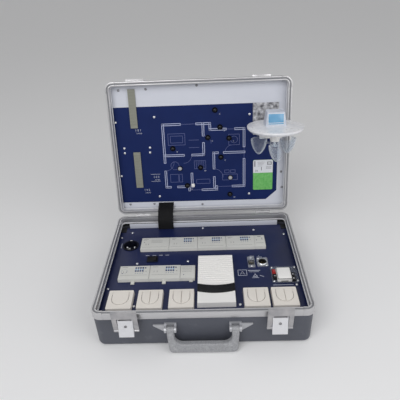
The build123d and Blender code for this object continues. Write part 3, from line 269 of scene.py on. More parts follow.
def new_group(name, inputs, outputs):
    """A node group with its sockets, its input node and its output node."""
    group = bpy.data.node_groups.new(name, "ShaderNodeTree")
    for way, sockets in (("INPUT", inputs), ("OUTPUT", outputs)):
        for label, kind in sockets:
            group.interface.new_socket(label, in_out=way, socket_type=kind)
    return group, group.nodes.new("NodeGroupInput"), group.nodes.new("NodeGroupOutput")


def set_inputs(node, values):
    """Set a node's inputs by their labels."""
    for label, value in values.items():
        node.inputs[label].default_value = value


def math_node(tree, kind, first, second):
    """A math node on two sockets or numbers."""
    made = tree.nodes.new("ShaderNodeMath")
    made.operation = kind
    for place, value in enumerate((first, second)):
        if isinstance(value, (int, float)):
            made.inputs[place].default_value = value
        else:
            tree.links.new(value, made.inputs[place])
    return made.outputs[0]


def noise_node(tree, vector, scale, detail):
    """A noise texture's value, with a number or a socket as its scale."""
    made = tree.nodes.new("ShaderNodeTexNoise")
    made.inputs["Detail"].default_value = detail
    tree.links.new(vector, made.inputs["Vector"])
    if isinstance(scale, (int, float)):
        made.inputs["Scale"].default_value = scale
    else:
        tree.links.new(scale, made.inputs["Scale"])
    return made.outputs["Fac"]


def colour_mix(tree, amount, first, second):
    """A node that mixes two colours by a socket's value. First is a socket or a colour."""
    mix = tree.nodes.new("ShaderNodeMix")
    mix.data_type = "RGBA"
    tree.links.new(amount, mix.inputs["Factor"])
    for label, value in (("A", first), ("B", second)):
        if isinstance(value, tuple):
            mix.inputs[label].default_value = value
        else:
            tree.links.new(value, mix.inputs[label])
    return mix.outputs["Result"]


FLOAT, COLOUR, VECTOR = "NodeSocketFloat", "NodeSocketColor", "NodeSocketVector"
moulding, group_in, group_out = new_group(
    "moulding",
    [
        ("Vector", VECTOR), ("Color", COLOUR), ("Second", COLOUR), ("Grain", FLOAT),
        ("Cloud", FLOAT), ("Roughness", FLOAT), ("Spread", FLOAT), ("Contrast", FLOAT),
    ],
    [("Color", COLOUR), ("Roughness", FLOAT), ("Height", FLOAT)],
)
given = group_in.outputs
fine = noise_node(moulding, given["Vector"], given["Grain"], 2.0)
broad = noise_node(moulding, given["Vector"], given["Cloud"], 4.0)
swing = math_node(moulding, "SUBTRACT", broad, 0.5)
patchy = math_node(moulding, "MULTIPLY", swing, given["Contrast"])
patchy = math_node(moulding, "ADD", patchy, 0.5)
tint = colour_mix(moulding, patchy, given["Color"], given["Second"])
rough = math_node(moulding, "MULTIPLY", swing, given["Spread"])
rough = math_node(moulding, "ADD", rough, given["Roughness"])
moulding.links.new(tint, group_out.inputs["Color"])
moulding.links.new(rough, group_out.inputs["Roughness"])
moulding.links.new(fine, group_out.inputs["Height"])

scuffs, scuff_in, scuff_out = new_group(
    "scuffs", [("Vector", VECTOR), ("Amount", FLOAT)], [("Mask", FLOAT)],
)
given = scuff_in.outputs
scuffs_from, scuff_gain = 0.6, 6.0
streak = noise_node(scuffs, given["Vector"], 60.0, 6.0)
streak = math_node(scuffs, "SUBTRACT", streak, scuffs_from)
streak = math_node(scuffs, "MAXIMUM", streak, 0.0)
streak = math_node(scuffs, "MULTIPLY", streak, scuff_gain)
streak = math_node(scuffs, "MINIMUM", streak, 1.0)
streak = math_node(scuffs, "MULTIPLY", streak, given["Amount"])
scuffs.links.new(streak, scuff_out.inputs["Mask"])


def new_material(name):
    """A material with its node tree and its main shader."""
    material = bpy.data.materials.new(name)
    material.use_nodes = True
    tree = material.node_tree
    return material, tree, tree.nodes["Principled BSDF"]


def relief(tree, shader, height, strength, depth):
    """A Bump node that puts a height on the shader."""
    bumps = tree.nodes.new("ShaderNodeBump")
    set_inputs(bumps, {"Strength": strength, "Distance": depth})
    tree.links.new(height, bumps.inputs["Height"])
    tree.links.new(bumps.outputs["Normal"], shader.inputs["Normal"])


def finish(
    name,
    colour,
    second,
    rough=0.5,
    spread=0.1,
    metal=0.0,
    grain=900.0,
    cloud=18.0,
    bump=0.05,
    depth=0.0002,
    coat=0.0,
    stretch=(1, 1, 1),
    worn=None,
    sheen=0.5,
    contrast=1.0,
):
    """A material with moulded or brushed grain, a cloud of tint and, if worn, pale scuffs."""
    material, tree, shader = new_material(name)
    gloss = {
        "Metallic": metal, "Coat Weight": coat, "Coat Roughness": 0.12, "Specular IOR Level": sheen,
    }
    set_inputs(shader, gloss)
    place = tree.nodes.new("ShaderNodeTexCoord")
    mapping = tree.nodes.new("ShaderNodeMapping")
    mapping.inputs["Scale"].default_value = stretch
    tree.links.new(place.outputs["Object"], mapping.inputs["Vector"])
    group = tree.nodes.new("ShaderNodeGroup")
    group.node_tree = moulding
    tree.links.new(mapping.outputs["Vector"], group.inputs["Vector"])
    values = {
        "Color": colour, "Second": second, "Grain": grain, "Cloud": cloud, "Roughness": rough,
        "Spread": spread, "Contrast": contrast,
    }
    set_inputs(group, values)
    colour_out = group.outputs["Color"]
    if worn:
        scuff_colour, amount = worn
        marks = tree.nodes.new("ShaderNodeGroup")
        marks.node_tree = scuffs
        marks.inputs["Amount"].default_value = amount
        tree.links.new(place.outputs["Object"], marks.inputs["Vector"])
        colour_out = colour_mix(tree, marks.outputs["Mask"], colour_out, scuff_colour)
    tree.links.new(colour_out, shader.inputs["Base Color"])
    tree.links.new(group.outputs["Roughness"], shader.inputs["Roughness"])
    if bump:
        relief(tree, shader, group.outputs["Height"], bump, depth)
    return material


shell_grey = finish(
    "shell_grey", tone(85, 88, 99), tone(72, 75, 84), grain=1400, bump=0.25,
    worn=(tone(112, 115, 124), 0.3),
)
alloy = finish(
    "frame_alloy", tone(212, 211, 212), tone(190, 190, 193), rough=0.34, spread=0.2, metal=0.8,
    grain=500, bump=0.08, stretch=(0.15, 1, 1), worn=(tone(228, 229, 232), 0.35),
)
steel = finish(
    "hardware", tone(226, 227, 230), tone(204, 205, 209), rough=0.27, spread=0.2, metal=0.8,
    grain=700, worn=(tone(150, 150, 155), 0.25),
)
# Paler copy of the latch metal for the levers, a painted highlight of light from above; the mains
# pins share it
lit_bright_metal = finish(
    "latch_lit_bright", tone(238, 238, 241), tone(222, 223, 227), rough=0.3, spread=0.2, metal=0.7,
    grain=700, worn=(tone(170, 170, 175), 0.3),
)
# Darker, patchier copy of the latch metal for the brackets and claws, painted shade behind the
# levers
shaded_dull_metal = finish(
    "latch_shaded_dull", tone(190, 188, 189), tone(160, 160, 164), rough=0.36, spread=0.25, metal=0.75,
    grain=600, cloud=45, bump=0.08, worn=(tone(220, 220, 223), 0.3), contrast=2.5,
)
# Near white, paler than the frame: a painted highlight along the rims' inner edges
pale_highlight_bead = finish(
    "rim_highlight_bead", tone(240, 241, 244), tone(226, 227, 231), rough=0.4, metal=0.15, bump=0.03,
)
zinc = finish(
    "screw_zinc", tone(150, 151, 155), tone(128, 129, 134), rough=0.4, metal=0.5, bump=0.0,
)
cast = finish(
    "cast_mount", tone(190, 191, 195), tone(170, 171, 176), rough=0.42, metal=0.6, bump=0.12,
)
navy = finish(
    "panel_navy", tone(17, 30, 78), tone(14, 24, 62), rough=0.42, grain=1600, cloud=9, bump=0.1,
    contrast=2.0,
)
print_blue = finish(
    "print_blue", tone(22, 40, 93), tone(17, 32, 80), spread=0.08, grain=1500, bump=0.04,
    sheen=0.15,
)
panel_white = finish(
    "panel_white", tone(214, 217, 226), tone(205, 208, 219), rough=0.4, grain=1500, bump=0.04,
    coat=0.15,
)
cream = finish(
    "plate_cream", tone(236, 231, 224), tone(229, 223, 215), rough=0.34, spread=0.06, grain=1800,
    bump=0.03, coat=0.2,
)
module_grey = finish("module_grey", tone(216, 216, 212), tone(206, 206, 201), grain=1700, bump=0.1)
white_plastic = finish(
    "white_plastic", tone(246, 244, 241), tone(239, 238, 237), rough=0.42, grain=1700, bump=0.06,
)
light_key = finish(
    "key_light", tone(118, 172, 222), tone(100, 156, 210), rough=0.4, bump=0.04, sheen=0.3,
)
key_blue = finish(
    "key_blue", tone(8, 54, 112), tone(5, 42, 96), rough=0.4, grain=1500, bump=0.04, sheen=0.3,
)
black = finish(
    "black_plastic", tone(16, 16, 19), tone(10, 10, 12), rough=0.55, bump=0.1, sheen=0.3,
)
socket_navy = finish("socket_navy", tone(15, 18, 34), tone(10, 12, 24), bump=0.1, sheen=0.3)
# Near black, painted shade: on the inner walls, the corner notches and the rocker gaps
shade_black = finish("painted_shade_black", tone(20, 21, 25), tone(14, 15, 18), rough=0.75, bump=0.1)
crumpled = finish(
    "bracket_plate", tone(98, 98, 103), tone(222, 222, 226), rough=0.34, spread=0.3, metal=0.5,
    grain=120, cloud=115, bump=0.8, depth=0.0015, contrast=2.9,
)
pit = finish("lamp_pit", tone(4, 4, 5), tone(2, 2, 3), rough=0.6, bump=0.0, sheen=0.1)
seal = finish("rim_seal", tone(136, 137, 141), tone(118, 119, 124), rough=0.6, bump=0.1)
rubber = finish("rubber_black", tone(30, 30, 32), tone(24, 24, 26), rough=0.8, bump=0.2)
visor = finish(
    "visor_dark", tone(12, 13, 17), tone(8, 9, 12), rough=0.16, spread=0.05, bump=0.02,
    sheen=0.35,
)
head_white = finish(
    "head_white", tone(212, 218, 230), tone(186, 193, 208), rough=0.35, cloud=60, coat=0.3,
    contrast=2.5,
)
shield_white = finish(
    "shield_white", tone(249, 249, 251), tone(216, 218, 225), rough=0.3, spread=0.3, grain=70,
    cloud=70, bump=0.4, depth=0.002, coat=0.5, contrast=1.8,
)
handle_grey = finish(
    "handle_grey", tone(172, 173, 176), tone(132, 133, 138), grain=700, cloud=420, bump=0.5,
    depth=0.0004, worn=(tone(212, 213, 215), 0.4), contrast=2.0,
)
slat_grey = finish(
    "window_grey", tone(146, 147, 136), tone(134, 135, 125), rough=0.48, metal=0.1, bump=0.06,
)
card_green = finish(
    "card_print", tone(60, 158, 66), tone(142, 206, 128), rough=0.35, cloud=190, bump=0.02,
    sheen=0.3,
)
card_white = finish(
    "card_white", tone(226, 228, 232), tone(216, 218, 226), rough=0.3, bump=0.02, coat=0.4,
)


def ink(name, colour, second, cloud=18.0):
    """A matt printing ink, without relief."""
    return finish(name, colour, second, cloud=cloud, bump=0.0)


print_line = ink("print_line", tone(196, 202, 228), tone(168, 176, 210), 60)
print_dim = ink("print_dim", tone(112, 120, 168), tone(92, 100, 150))
print_white = ink("print_white", tone(206, 210, 222), tone(190, 194, 210))
print_grey = ink("print_grey", tone(140, 141, 140), tone(122, 123, 124))
print_slate = ink("print_slate", tone(150, 160, 176), tone(132, 142, 160))
print_dark = ink("print_dark", tone(62, 64, 72), tone(50, 52, 60))
red = finish("clamp_red", tone(172, 34, 32), tone(150, 26, 26), rough=0.35, coat=0.3)
brass = finish("contact_brass", tone(214, 190, 130), tone(196, 170, 110), rough=0.3, metal=0.85)
light_blue = finish(
    "light_window", tone(112, 170, 208), tone(98, 156, 198), rough=0.2, bump=0.02, coat=0.6,
)


def hazed(tree, shader, scale, rough):
    """Roughness that varies over a clear wall."""
    place = tree.nodes.new("ShaderNodeTexCoord")
    haze = noise_node(tree, place.outputs["Object"], scale, 3.0)
    level = math_node(tree, "MULTIPLY", haze, rough)
    tree.links.new(level, shader.inputs["Roughness"])


def clear(name, colour, rough, transmission):
    """Clear or frosted plastic."""
    material, tree, shader = new_material(name)
    set_inputs(shader, {"Base Color": colour, "Transmission Weight": transmission, "IOR": 1.45})
    hazed(tree, shader, 240.0, rough)
    return material


def thin_clear(name, colour, body, painted_edge_reflection):
    """A thin clear wall: see-through where it faces the viewer, pale and glossy at its edges, where
    the pale colour is a painted reflection.
    """
    material, tree, shader = new_material(name)
    shader.inputs["Base Color"].default_value = colour
    hazed(tree, shader, 160.0, 0.3)
    through = tree.nodes.new("ShaderNodeBsdfTransparent")
    through.inputs["Color"].default_value = tone(244, 247, 250)
    # Pale colour mixed in by facing angle, strongest at the silhouette: a painted reflection
    edge = tree.nodes.new("ShaderNodeLayerWeight")
    edge.inputs["Blend"].default_value = 0.45
    amount = math_node(tree, "POWER", edge.outputs["Facing"], 2.2)
    amount = math_node(tree, "MULTIPLY", amount, painted_edge_reflection)
    amount = math_node(tree, "ADD", amount, body)
    amount = math_node(tree, "MINIMUM", amount, 1.0)
    mix = tree.nodes.new("ShaderNodeMixShader")
    tree.links.new(amount, mix.inputs["Fac"])
    tree.links.new(through.outputs["BSDF"], mix.inputs[1])
    tree.links.new(shader.outputs["BSDF"], mix.inputs[2])
    tree.links.new(mix.outputs["Shader"], tree.nodes["Material Output"].inputs["Surface"])
    return material


cup_clear = thin_clear("cup_clear", tone(226, 230, 236), 0.1, 1.3)
acrylic = thin_clear("acrylic", tone(196, 200, 210), 0.1, 0.3)
lamp_glass = clear("lamp_glass", tone(240, 240, 242), 0.2, 0.5)

# Every CAD node's own finish, also where a finer piece replaces the node
FINISHES = {
    shell_grey: "base_shell lid_shell",
    alloy: "base_frame lid_frame latch_catches hinge_base_leaves hinge_lid_leaves",
    socket_navy: "mains_socket power_switch_housing",
    steel: "din_rails data_sockets base_panel_screws lid_panel_screws",
    lit_bright_metal: "latch_lever_left latch_lever_right",
    shaded_dull_metal: "latch_brackets latch_claw_left latch_claw_right",
    cast: "handle_mounts",
    crumpled: "station_bracket",
    rubber: "rear_feet_base rear_feet_lid",
    navy: "base_panel",
    panel_white: "lid_panel rear_trim_strip",
    black: "panel_supports lid_panel_supports power_rocker led_lamps cable_sleeve",
    module_grey: "power_supply_module switch_modules line_modules",
    key_blue: "keypad_1 keypad_2 keypad_3 keypad_4 keypad_5",
    cream: "switch_plates rocker_1 rocker_2_left rocker_2_right rocker_3_left rocker_3_right "
    "rocker_4_left rocker_4_right rocker_5_left rocker_5_right",
    white_plastic: "switch_inserts sensor_base sensor_cover demo_unit station_body",
    head_white: "station_head",
    shield_white: "station_disc",
    visor: "sensor_visor",
    handle_grey: "handle",
    slat_grey: "blind_windows",
    card_green: "info_card",
    cup_clear: "cup_wheel",
}
# Widths of softened edges, in metres
SOFT_EDGES = {
    "base_frame": 0.0007, "lid_frame": 0.0007, "power_supply_module": 0.0006,
    "switch_modules": 0.0006, "line_modules": 0.0006, "sensor_base": 0.0005,
    "rear_trim_strip": 0.0004, "latch_catches": 0.0004, "power_switch_housing": 0.0004,
}
# Weld distance in metres, and the angles from which edges are softened and split
NODE_WELD = 0.00001
BEVEL_FROM = math.radians(50)
SPLIT_FROM = math.radians(32)
for material, names in FINISHES.items():
    for name in names.split():
        node = nodes[name]
        node.data.materials.clear()
        node.data.materials.append(material)
        node.data.shade_smooth()
        weld = node.modifiers.new("weld", "WELD")
        weld.merge_threshold = NODE_WELD
        if name in SOFT_EDGES:
            bevel = node.modifiers.new("soft_edges", "BEVEL")
            bevel.width = SOFT_EDGES[name]
            bevel.segments = 2
            bevel.limit_method = "ANGLE"
            bevel.angle_limit = BEVEL_FROM
        split = node.modifiers.new("edges", "EDGE_SPLIT")
        split.split_angle = SPLIT_FROM


# Lid panel: blue field, plan, labels, card, lamps


def lid_field():
    """The blue print on the lid's panel."""
    bm = bmesh.new()
    outline = [
        (-220.5, 286), (-220.5, 27), (173, 25.5), (201.4, 50.7), (201.4, 240), (136.5, 240),
        (136.5, 286),
    ]
    plate(bm, outline, 0.02, PRINT_LOW)
    piece("lid_blue_field", "lid", bm, print_blue, ON_LID)


PLAN_WALLS = (
    [(-96, 238), (-52, 238)],
    [(-8, 238), (26, 238), (26, 222), (66, 222)],
    [(92, 222), (114, 222), (114, 176)],
    [(114, 140), (114, 66), (84, 66)],
    [(40, 66), (40, 58), (2, 58)],
    [(-34, 58), (-34, 68), (-64, 68)],
    [(-86, 68), (-96, 68), (-96, 112)],
    [(-96, 138), (-96, 238)],
    [(-96, 156), (-46, 156)],
    [(-22, 156), (8, 156), (8, 186)],
    [(8, 208), (8, 238)],
    [(62, 160), (114, 160)],
    [(34, 118), (34, 160), (44, 160)],
    [(34, 66), (34, 92)],
    [(-26, 68), (-26, 104)],
)
PLAN_WINDOWS = (
    [(-52, 238), (-8, 238)],
    [(66, 222), (92, 222)],
    [(114, 176), (114, 140)],
    [(84, 66), (40, 66)],
    [(2, 58), (-34, 58)],
)
# Hinge place, width and first angle of each door
PLAN_DOORS = (
    (-96, 138, 24, -90), (-46, 156, 22, -90), (8, 186, 20, 0), (34, 92, 24, 0), (84, 160, 20, 90),
)
# Opposite corners of each piece of furniture
PLAN_FURNITURE = (
    (-84, 184, -40, 214), (-78, 190, -46, 208), (-84, 82, -62, 104), (-60, 82, -52, 104),
    (56, 84, 96, 100), (62, 104, 74, 112), (78, 104, 90, 112), (74, 180, 102, 208),
    (-14, 76, 22, 88),
)
ROUND_TABLES = ((88, 194, 9), (-70, 128, 11))


def wall(bm, points):
    """A wall on the plan: two lines, closed at both ends, through points on square corners."""
    half = 2.3
    line = 1.6
    for (x0, y0), (x1, y1) in zip(points, points[1:]):
        low_x, high_x = min(x0, x1) - half, max(x0, x1) + half
        low_y, high_y = min(y0, y1) - half, max(y0, y1) + half
        outline_box(bm, low_x, low_y, high_x, high_y, line)


def plan():
    """The printed plan: walls, and thin lines for windows, doors, stairs and furniture."""
    bm = bmesh.new()
    for points in PLAN_WALLS:
        wall(bm, points)
    piece("plan_walls", "lid", bm, print_line, ON_LID)
    bm = bmesh.new()
    thin = 0.8
    for points in PLAN_WINDOWS:
        strokes(bm, points, thin)
    for x, s, width, start in PLAN_DOORS:
        strokes(bm, arc_points(x, s, width, start, start + 90), thin)
    for corners in PLAN_FURNITURE:
        outline_box(bm, *corners, thin)
    for x, s, radius in ROUND_TABLES:
        strokes(bm, arc_points(x, s, radius, 0, 360, 18), thin)
    upright_lines(bm, range(-18, 17, 5), 118, 140, thin)
    level_lines(bm, -18, 12, (118, 140), thin)
    level_lines(bm, -30, -4, (196, 176), thin)
    piece("plan_details", "lid", bm, print_dim, ON_LID)


def lid_labels():
    """Plain numbers beside the blinds and the lamps."""
    bm = bmesh.new()
    for x, s, text in ((-160, 226, "1 0 1"), (-150, 62, "1 0 2"), (-122, 98, "1 0 3")):
        number(bm, text, x, s, 5.5)
        number(bm, "2 4 8 0", x + 2, s - 8, 3.6)
    for x, s, text in (
        (52, 261, "4"), (63, 218, "5"), (31, 192, "6"), (86, 189, "7"), (-62, 166, "8"),
        (64, 139, "9"), (10, 112, "10"), (-28, 61, "11"), (87, 34, "12"),
    ):
        number(bm, text, x, s, 4)
    level_lines(bm, -136, -112, (106, 86), 0.7)
    piece("lid_labels", "lid", bm, print_white, ON_LID)


DARK_LAMPS = [
    (40, 271.5), (52, 227.7), (20, 201.4), (75, 198), (-73, 175), (53, 148), (-2, 121),
    (-39.5, 71.4), (75.6, 43),
]
PALE_LAMPS = [(-57, 120), (77, 90.4)]


def lamp_parts(name, places, profile, material):
    """The same turned part on each of these lamps."""
    bm = bmesh.new()
    turned_at(bm, profile, places, 0, 28)
    return piece(name, "lid", bm, material, ON_LID)


def lamps():
    """Collars and domes of the lid's lamps, and the square sensor among them."""
    collar = [
        (0, 0.1), (6.8, 0.1), (7.1, 0.4), (7.0, 1.4), (6.6, 1.8), (5.7, 1.8), (5.5, 1.5), (0, 1.5),
    ]
    dome = [(5.3, 1.0), (5.4, 2.4), (4.9, 4.2), (3.6, 5.6), (1.9, 6.3), (0, 6.5)]
    made = lamp_parts("lamp_collars", DARK_LAMPS + PALE_LAMPS, collar, pit)
    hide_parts("led_lamps")
    lamp_parts("lamp_domes", DARK_LAMPS, dome, visor)
    lamp_parts("lamp_clear_domes", PALE_LAMPS, dome, lamp_glass)
    bm = bmesh.new()
    middle = (-24, 72)
    pad(bm, middle, (4.4, 4.4), 0.1, 3.4, 0.8, 3)
    pad(bm, middle, (2.2, 2.2), 3.3, 4.0, 0.4)
    piece("square_sensor", "lid", bm, white_plastic, ON_LID)


BASE_SCREWS = [
    (-190, 134), (-215, 113), (-1, 147), (134, 133), (211, 111.5), (-160, 8), (-36.5, 12.6),
    (210, -75), (-215, -76), (-148, -130), (80, -131),
]
LID_SCREWS = [
    (-217, 248), (-116, 259), (-201, 179.6), (-201, 166.6), (-133, 179.5), (-133.6, 166.5),
    (-216, 103.5), (128, 258), (127.4, 43), (-116.6, 42.5), (-201, 328), (-132, 329), (-4, 334),
    (-200, 21), (-133.5, 21), (-0.6, 16), (212.5, 103), (216, 59),
]


def screw_heads(name, body, places, base, place):
    """Domed screw heads, each with a round recess."""
    bm = bmesh.new()
    head = [
        (0, 0.9), (0.9, 0.9), (1.15, 1.0), (1.25, 1.75), (2.2, 1.55), (2.9, 1.1), (3.2, 0.5),
        (3.2, 0.0), (0, 0.0),
    ]
    turned_at(bm, head, places, base, 20)
    return piece(name, body, bm, steel, place)


def grey_on_white(heads):
    """The screws on the lid's white margins are dull zinc."""
    margin_foot, margin_top, margin_right = 24, 290, 204
    heads.data.materials.append(zinc)
    to_lid = ON_LID.inverted()
    for face in heads.data.polygons:
        x, s, _ = to_lid @ face.center
        if s < margin_foot or s > margin_top or x > margin_right:
            face.material_index = 1


def card():
    """The white upper part of the small card, with plain bars, a box and a number."""
    low_x, high_x, foot, top, corner = 138, 190, 101.7, 137, 4
    bm = bmesh.new()
    outline = arc_points(high_x - corner, top - corner, corner, 0, 90, CORNER_STEPS)
    outline += arc_points(low_x + corner, top - corner, corner, 90, 180, CORNER_STEPS)
    plate(bm, outline + [(low_x, foot), (high_x, foot)], 1.6, 1.75)
    piece("card_top", "lid", bm, card_white, ON_LID)
    bm = bmesh.new()
    printed = (1.75, 1.85)
    outline_box(bm, 176, 124, 186, 131, 1.2, *printed)
    upright_lines(bm, [142.5], 133, 120, 2.2, *printed)
    upright_lines(bm, [160], 117, 109, 1.4, *printed)
    level_lines(bm, 176, 186, [127.5], 0.8, *printed)
    level_lines(bm, 172, 186, (119, 116, 113), 0.6, *printed)
    for row in range(4):
        level_lines(bm, 150, 168 - 2 * row, [131 - 3.5 * row], 0.6, *printed)
    number(bm, "24", 147, 107, 5, *printed)
    piece("card_marks", "lid", bm, print_dark, ON_LID)


# Weather station


def station():
    """The blue window on the leaning front of the station's head, and its frame."""
    front = Matrix.Translation((0, -15.6, 0)) @ Matrix.Rotation(math.radians(-10), 4, "X")
    foot, crossbar, top = 15.5, 19.4, 40.5
    half = 0.5
    bm = bmesh.new()
    block(bm, (-18.8, -1.0, foot), (17.8, 0.6, top), 0.5)
    bmesh.ops.transform(bm, matrix=front, verts=bm.verts)
    piece("station_window", "station", bm, light_blue, ON_STATION)
    bm = bmesh.new()
    for z in (foot, crossbar, top):
        block(bm, (-19.2, -1.5, z - half), (18.2, -0.7, z + half), 0.25)
    for x in (-18.7, 17.7):
        block(bm, (x - half, -1.5, foot), (x + half, -0.7, top), 0.25)
    bmesh.ops.transform(bm, matrix=front, verts=bm.verts)
    piece("window_frame", "station", bm, white_plastic, ON_STATION)


# Base panel marks


def base_marks():
    """Signs, bars and plain numbers on the base panel."""
    bm = bmesh.new()
    outline_box(bm, 82, -42, 102, -23, 1.0, *MARKS)
    strokes(bm, [(87, -38), (92, -28), (97, -38)], 0.9, *MARKS)
    strokes(bm, arc_points(92, -33, 3, 0, 360, 12), 0.8, *MARKS)
    strokes(bm, [(116, -46), (121, -39), (126, -46), (116, -46)], 1.4, *MARKS)
    bars = (
        ((106, -25.5), (133, -25.5), 1.6), ((108, -30), (130, -30), 1.0),
        ((114, -50), (128, -50), 1.2), ((121, -39), (121, -36), 1.0),
        ((132, -43), (140, -47), 1.2), ((158, -75), (202, -75), 1.2),
        ((131, 22), (143, 22), 1.2), ((115, 26), (123, 26), 1.2),
        ((-210, 70), (-210, 88), 1.2),
    )
    for start, end, width in bars:
        stroke(bm, start, end, width, *MARKS)
    for x in (-142, -125, -109, -93):
        stroke(bm, (x, 38), (x + 8, 38), 1.3, *MARKS)
    for x, text in zip(SWITCHES[1:], "2345"):
        number(bm, text, x - 5, -85.5, 4.2, *MARKS)
        number(bm, text, x + 8, -85.5, 4.2, *MARKS)
    number(bm, "6", 136, 27, 4, *MARKS)
    piece("base_marks", "base", bm, print_white)


# Devices


def key_columns(x):
    """Middles of the four columns of keys in a group."""
    first, step = -8.1, 5.4
    return [x + first + step * column for column in range(4)]


def module_lines():
    """Lines, small labels and numbers on the device fronts."""
    lines, dark = bmesh.new(), bmesh.new()
    rear_places = (-158, -86, -14, 58)
    for left in rear_places:
        ticks = [left + MODULE_WIDTH * share for share in (0.18, 0.27)]
        upright_lines(lines, ticks, 69, 73.5, 0.9, *DEVICE_PRINT)
        upright_lines(lines, [left + 0.4], 54, 97, 0.5, *DEVICE_PRINT)
        level_lines(lines, left + 6, left + 17, [92], 1.1, *DEVICE_PRINT)
        level_lines(lines, left + 6, left + 13, [88.5], 0.8, *DEVICE_PRINT)
        level_lines(lines, left + 4, left + 66, [60], 0.5, *DEVICE_PRINT)
    power_supply = rear_places[0]
    level_lines(lines, power_supply + 26, power_supply + 54, (88, 83, 78), 0.7, *DEVICE_PRINT)
    for left in rear_places[1:]:
        number(dark, "4", left + 62, 80, 3.4, *DEVICE_PRINT)
    stroke(dark, (140, 92), (147, 92), 1.4, *DEVICE_PRINT)
    stroke(dark, (150, 86), (150, 80), 1.2, *DEVICE_PRINT)
    level_lines(lines, 134, 152, [66], 0.8, *DEVICE_PRINT)
    for left in (-196, -124):
        ticks = [left + MODULE_WIDTH * share for share in (0.14, 0.24)]
        upright_lines(lines, ticks, -29, -33, 0.9, *DEVICE_PRINT)
        upright_lines(lines, [left + 71.6], -54, -11, 0.6, *DEVICE_PRINT)
        level_lines(lines, left + 5, left + 66, [-42], 0.5, *DEVICE_PRINT)
        level_lines(lines, left + 6, left + 18, [-15], 1.1, *DEVICE_PRINT)
        number(dark, "4", left + 63, -30, 3.4, *DEVICE_PRINT)
    level_lines(lines, -48, -26, (-18, -23, -28, -33), 0.6, *DEVICE_PRINT)
    piece("module_lines", "base", lines, print_grey)
    piece("module_numbers", "base", dark, print_dark)


def module_lights():
    """Small lamps, single keys and the rows of marks on the device fronts."""
    lights, dots = bmesh.new(), bmesh.new()
    lens = [(0, 0), (1.0, 0), (1.0, 0.5), (0.6, 0.9), (0, 1.0)]
    turned_at(lights, lens, ((-150, 80), (136, 78), (-188, -36), (-44, -44)), MODULE_FACE, 14)
    for x, y in KEYPADS:
        pad(lights, (x + 13.8, y + 4.4), (1.6, 1.6), MODULE_FACE, 82.8, 0.4)
        for dot_x in key_columns(x):
            pad(dots, (dot_x, y - 13.5), (1.1, 0.9), MODULE_FACE, 82.4, 0.2)
    strokes(dots, arc_points(-184, -29, 7, 0, 360, 24), 0.4, *DEVICE_PRINT)
    piece("module_lights", "base", lights, key_blue, ON_BASE)
    piece("module_dots", "base", dots, print_slate, ON_BASE)


def keypads():
    """Two rows of keys, with a row of slides between them, on the grey mat of each keypad."""
    for count, (x, y) in enumerate(KEYPADS, start=1):
        body = f"keypad_{count}"
        bm = bmesh.new()
        pad(bm, (x, y), (10, 8.5), 80.25, 82.5, 0.3)
        made = piece(f"keypad_mat_{count}", body, bm, module_grey, ON_BASE)
        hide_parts(f"keypad_{count}")
        keys, slides = bmesh.new(), bmesh.new()
        for key_x in key_columns(x):
            for key_y in (y - 6.0, y + 4.4):
                pad(keys, (key_x, key_y), (1.9, 2.3), MODULE_FACE, 83.0, 0.5)
            pad(slides, (key_x, y - 0.8), (1.4, 1.4), MODULE_FACE, 82.8, 0.3)
        piece(f"keypad_keys_{count}", body, keys, key_blue, ON_BASE)
        piece(f"keypad_slides_{count}", body, slides, light_key, ON_BASE)


plates_low, plates_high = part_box("switch_plates")
SWITCH_Y = (plates_low[1] + plates_high[1]) / 2 / MM


def switch_gaps():
    """Painted shade: a dark strip in the round part of each rocker's gap, and pale lips in its
    upper part.
    """
    dark, lips = bmesh.new(), bmesh.new()
    reach, width = 18.58, 0.34
    shoulder = SWITCH_Y + 13
    top = SWITCH_Y + 21.58
    shade_levels, lip = (81.2, 82.7), (81.4, 82.9)
    for x in SWITCHES:
        arc = arc_points(x, SWITCH_Y + 3, reach, 0, -180, 24)
        strokes(dark, [(x + reach, shoulder), *arc, (x - reach, shoulder)], width, *shade_levels)
        upright_lines(lips, (x - reach, x + reach), shoulder + 0.5, top - 0.38, width, *lip)
        level_lines(lips, x - 18.2, x + 18.2, [top], width, *lip)
    # The dark strip is painted shade in the lower part of the gap
    piece("rocker_painted_shade", "base", dark, shade_black, ON_BASE)
    piece("rocker_lips", "base", lips, cream, ON_BASE)


def rail_clips():
    """Grey pull tabs of the rail clips in front of the front row."""
    bm = bmesh.new()
    for x, reach in ((-161, 65.2), (-89, 65.2), (-27, 60.5)):
        block(bm, (x - 4.2, -reach, 73.4), (x + 4.2, -55.6, 76.4), 0.8)
        block(bm, (x - 2, 2 - reach, 76.0), (x + 2, 4.5 - reach, 77.0), 0.4)
    piece("clip_tabs", "base", bm, module_grey, ON_BASE)


# Sockets and the demonstration unit


def mains_contacts():
    """Two earthing springs and two pins inside the mains inlet."""
    bm = bmesh.new()
    for y in (97.5, 64.6):
        pad(bm, (-187, y), (2.5, 1.5), 66, 75.8, 0.5)
    piece("mains_contact_springs", "base", bm, steel, ON_BASE)
    bm = bmesh.new()
    pin = [(0, 0), (2.5, 0), (2.5, 10.4), (1.9, 11.2), (0, 11.4)]
    turned_at(bm, pin, ((-195.5, 78), (-176.5, 78)), 58.6, 20)
    piece("mains_pins", "base", bm, lit_bright_metal, ON_BASE)


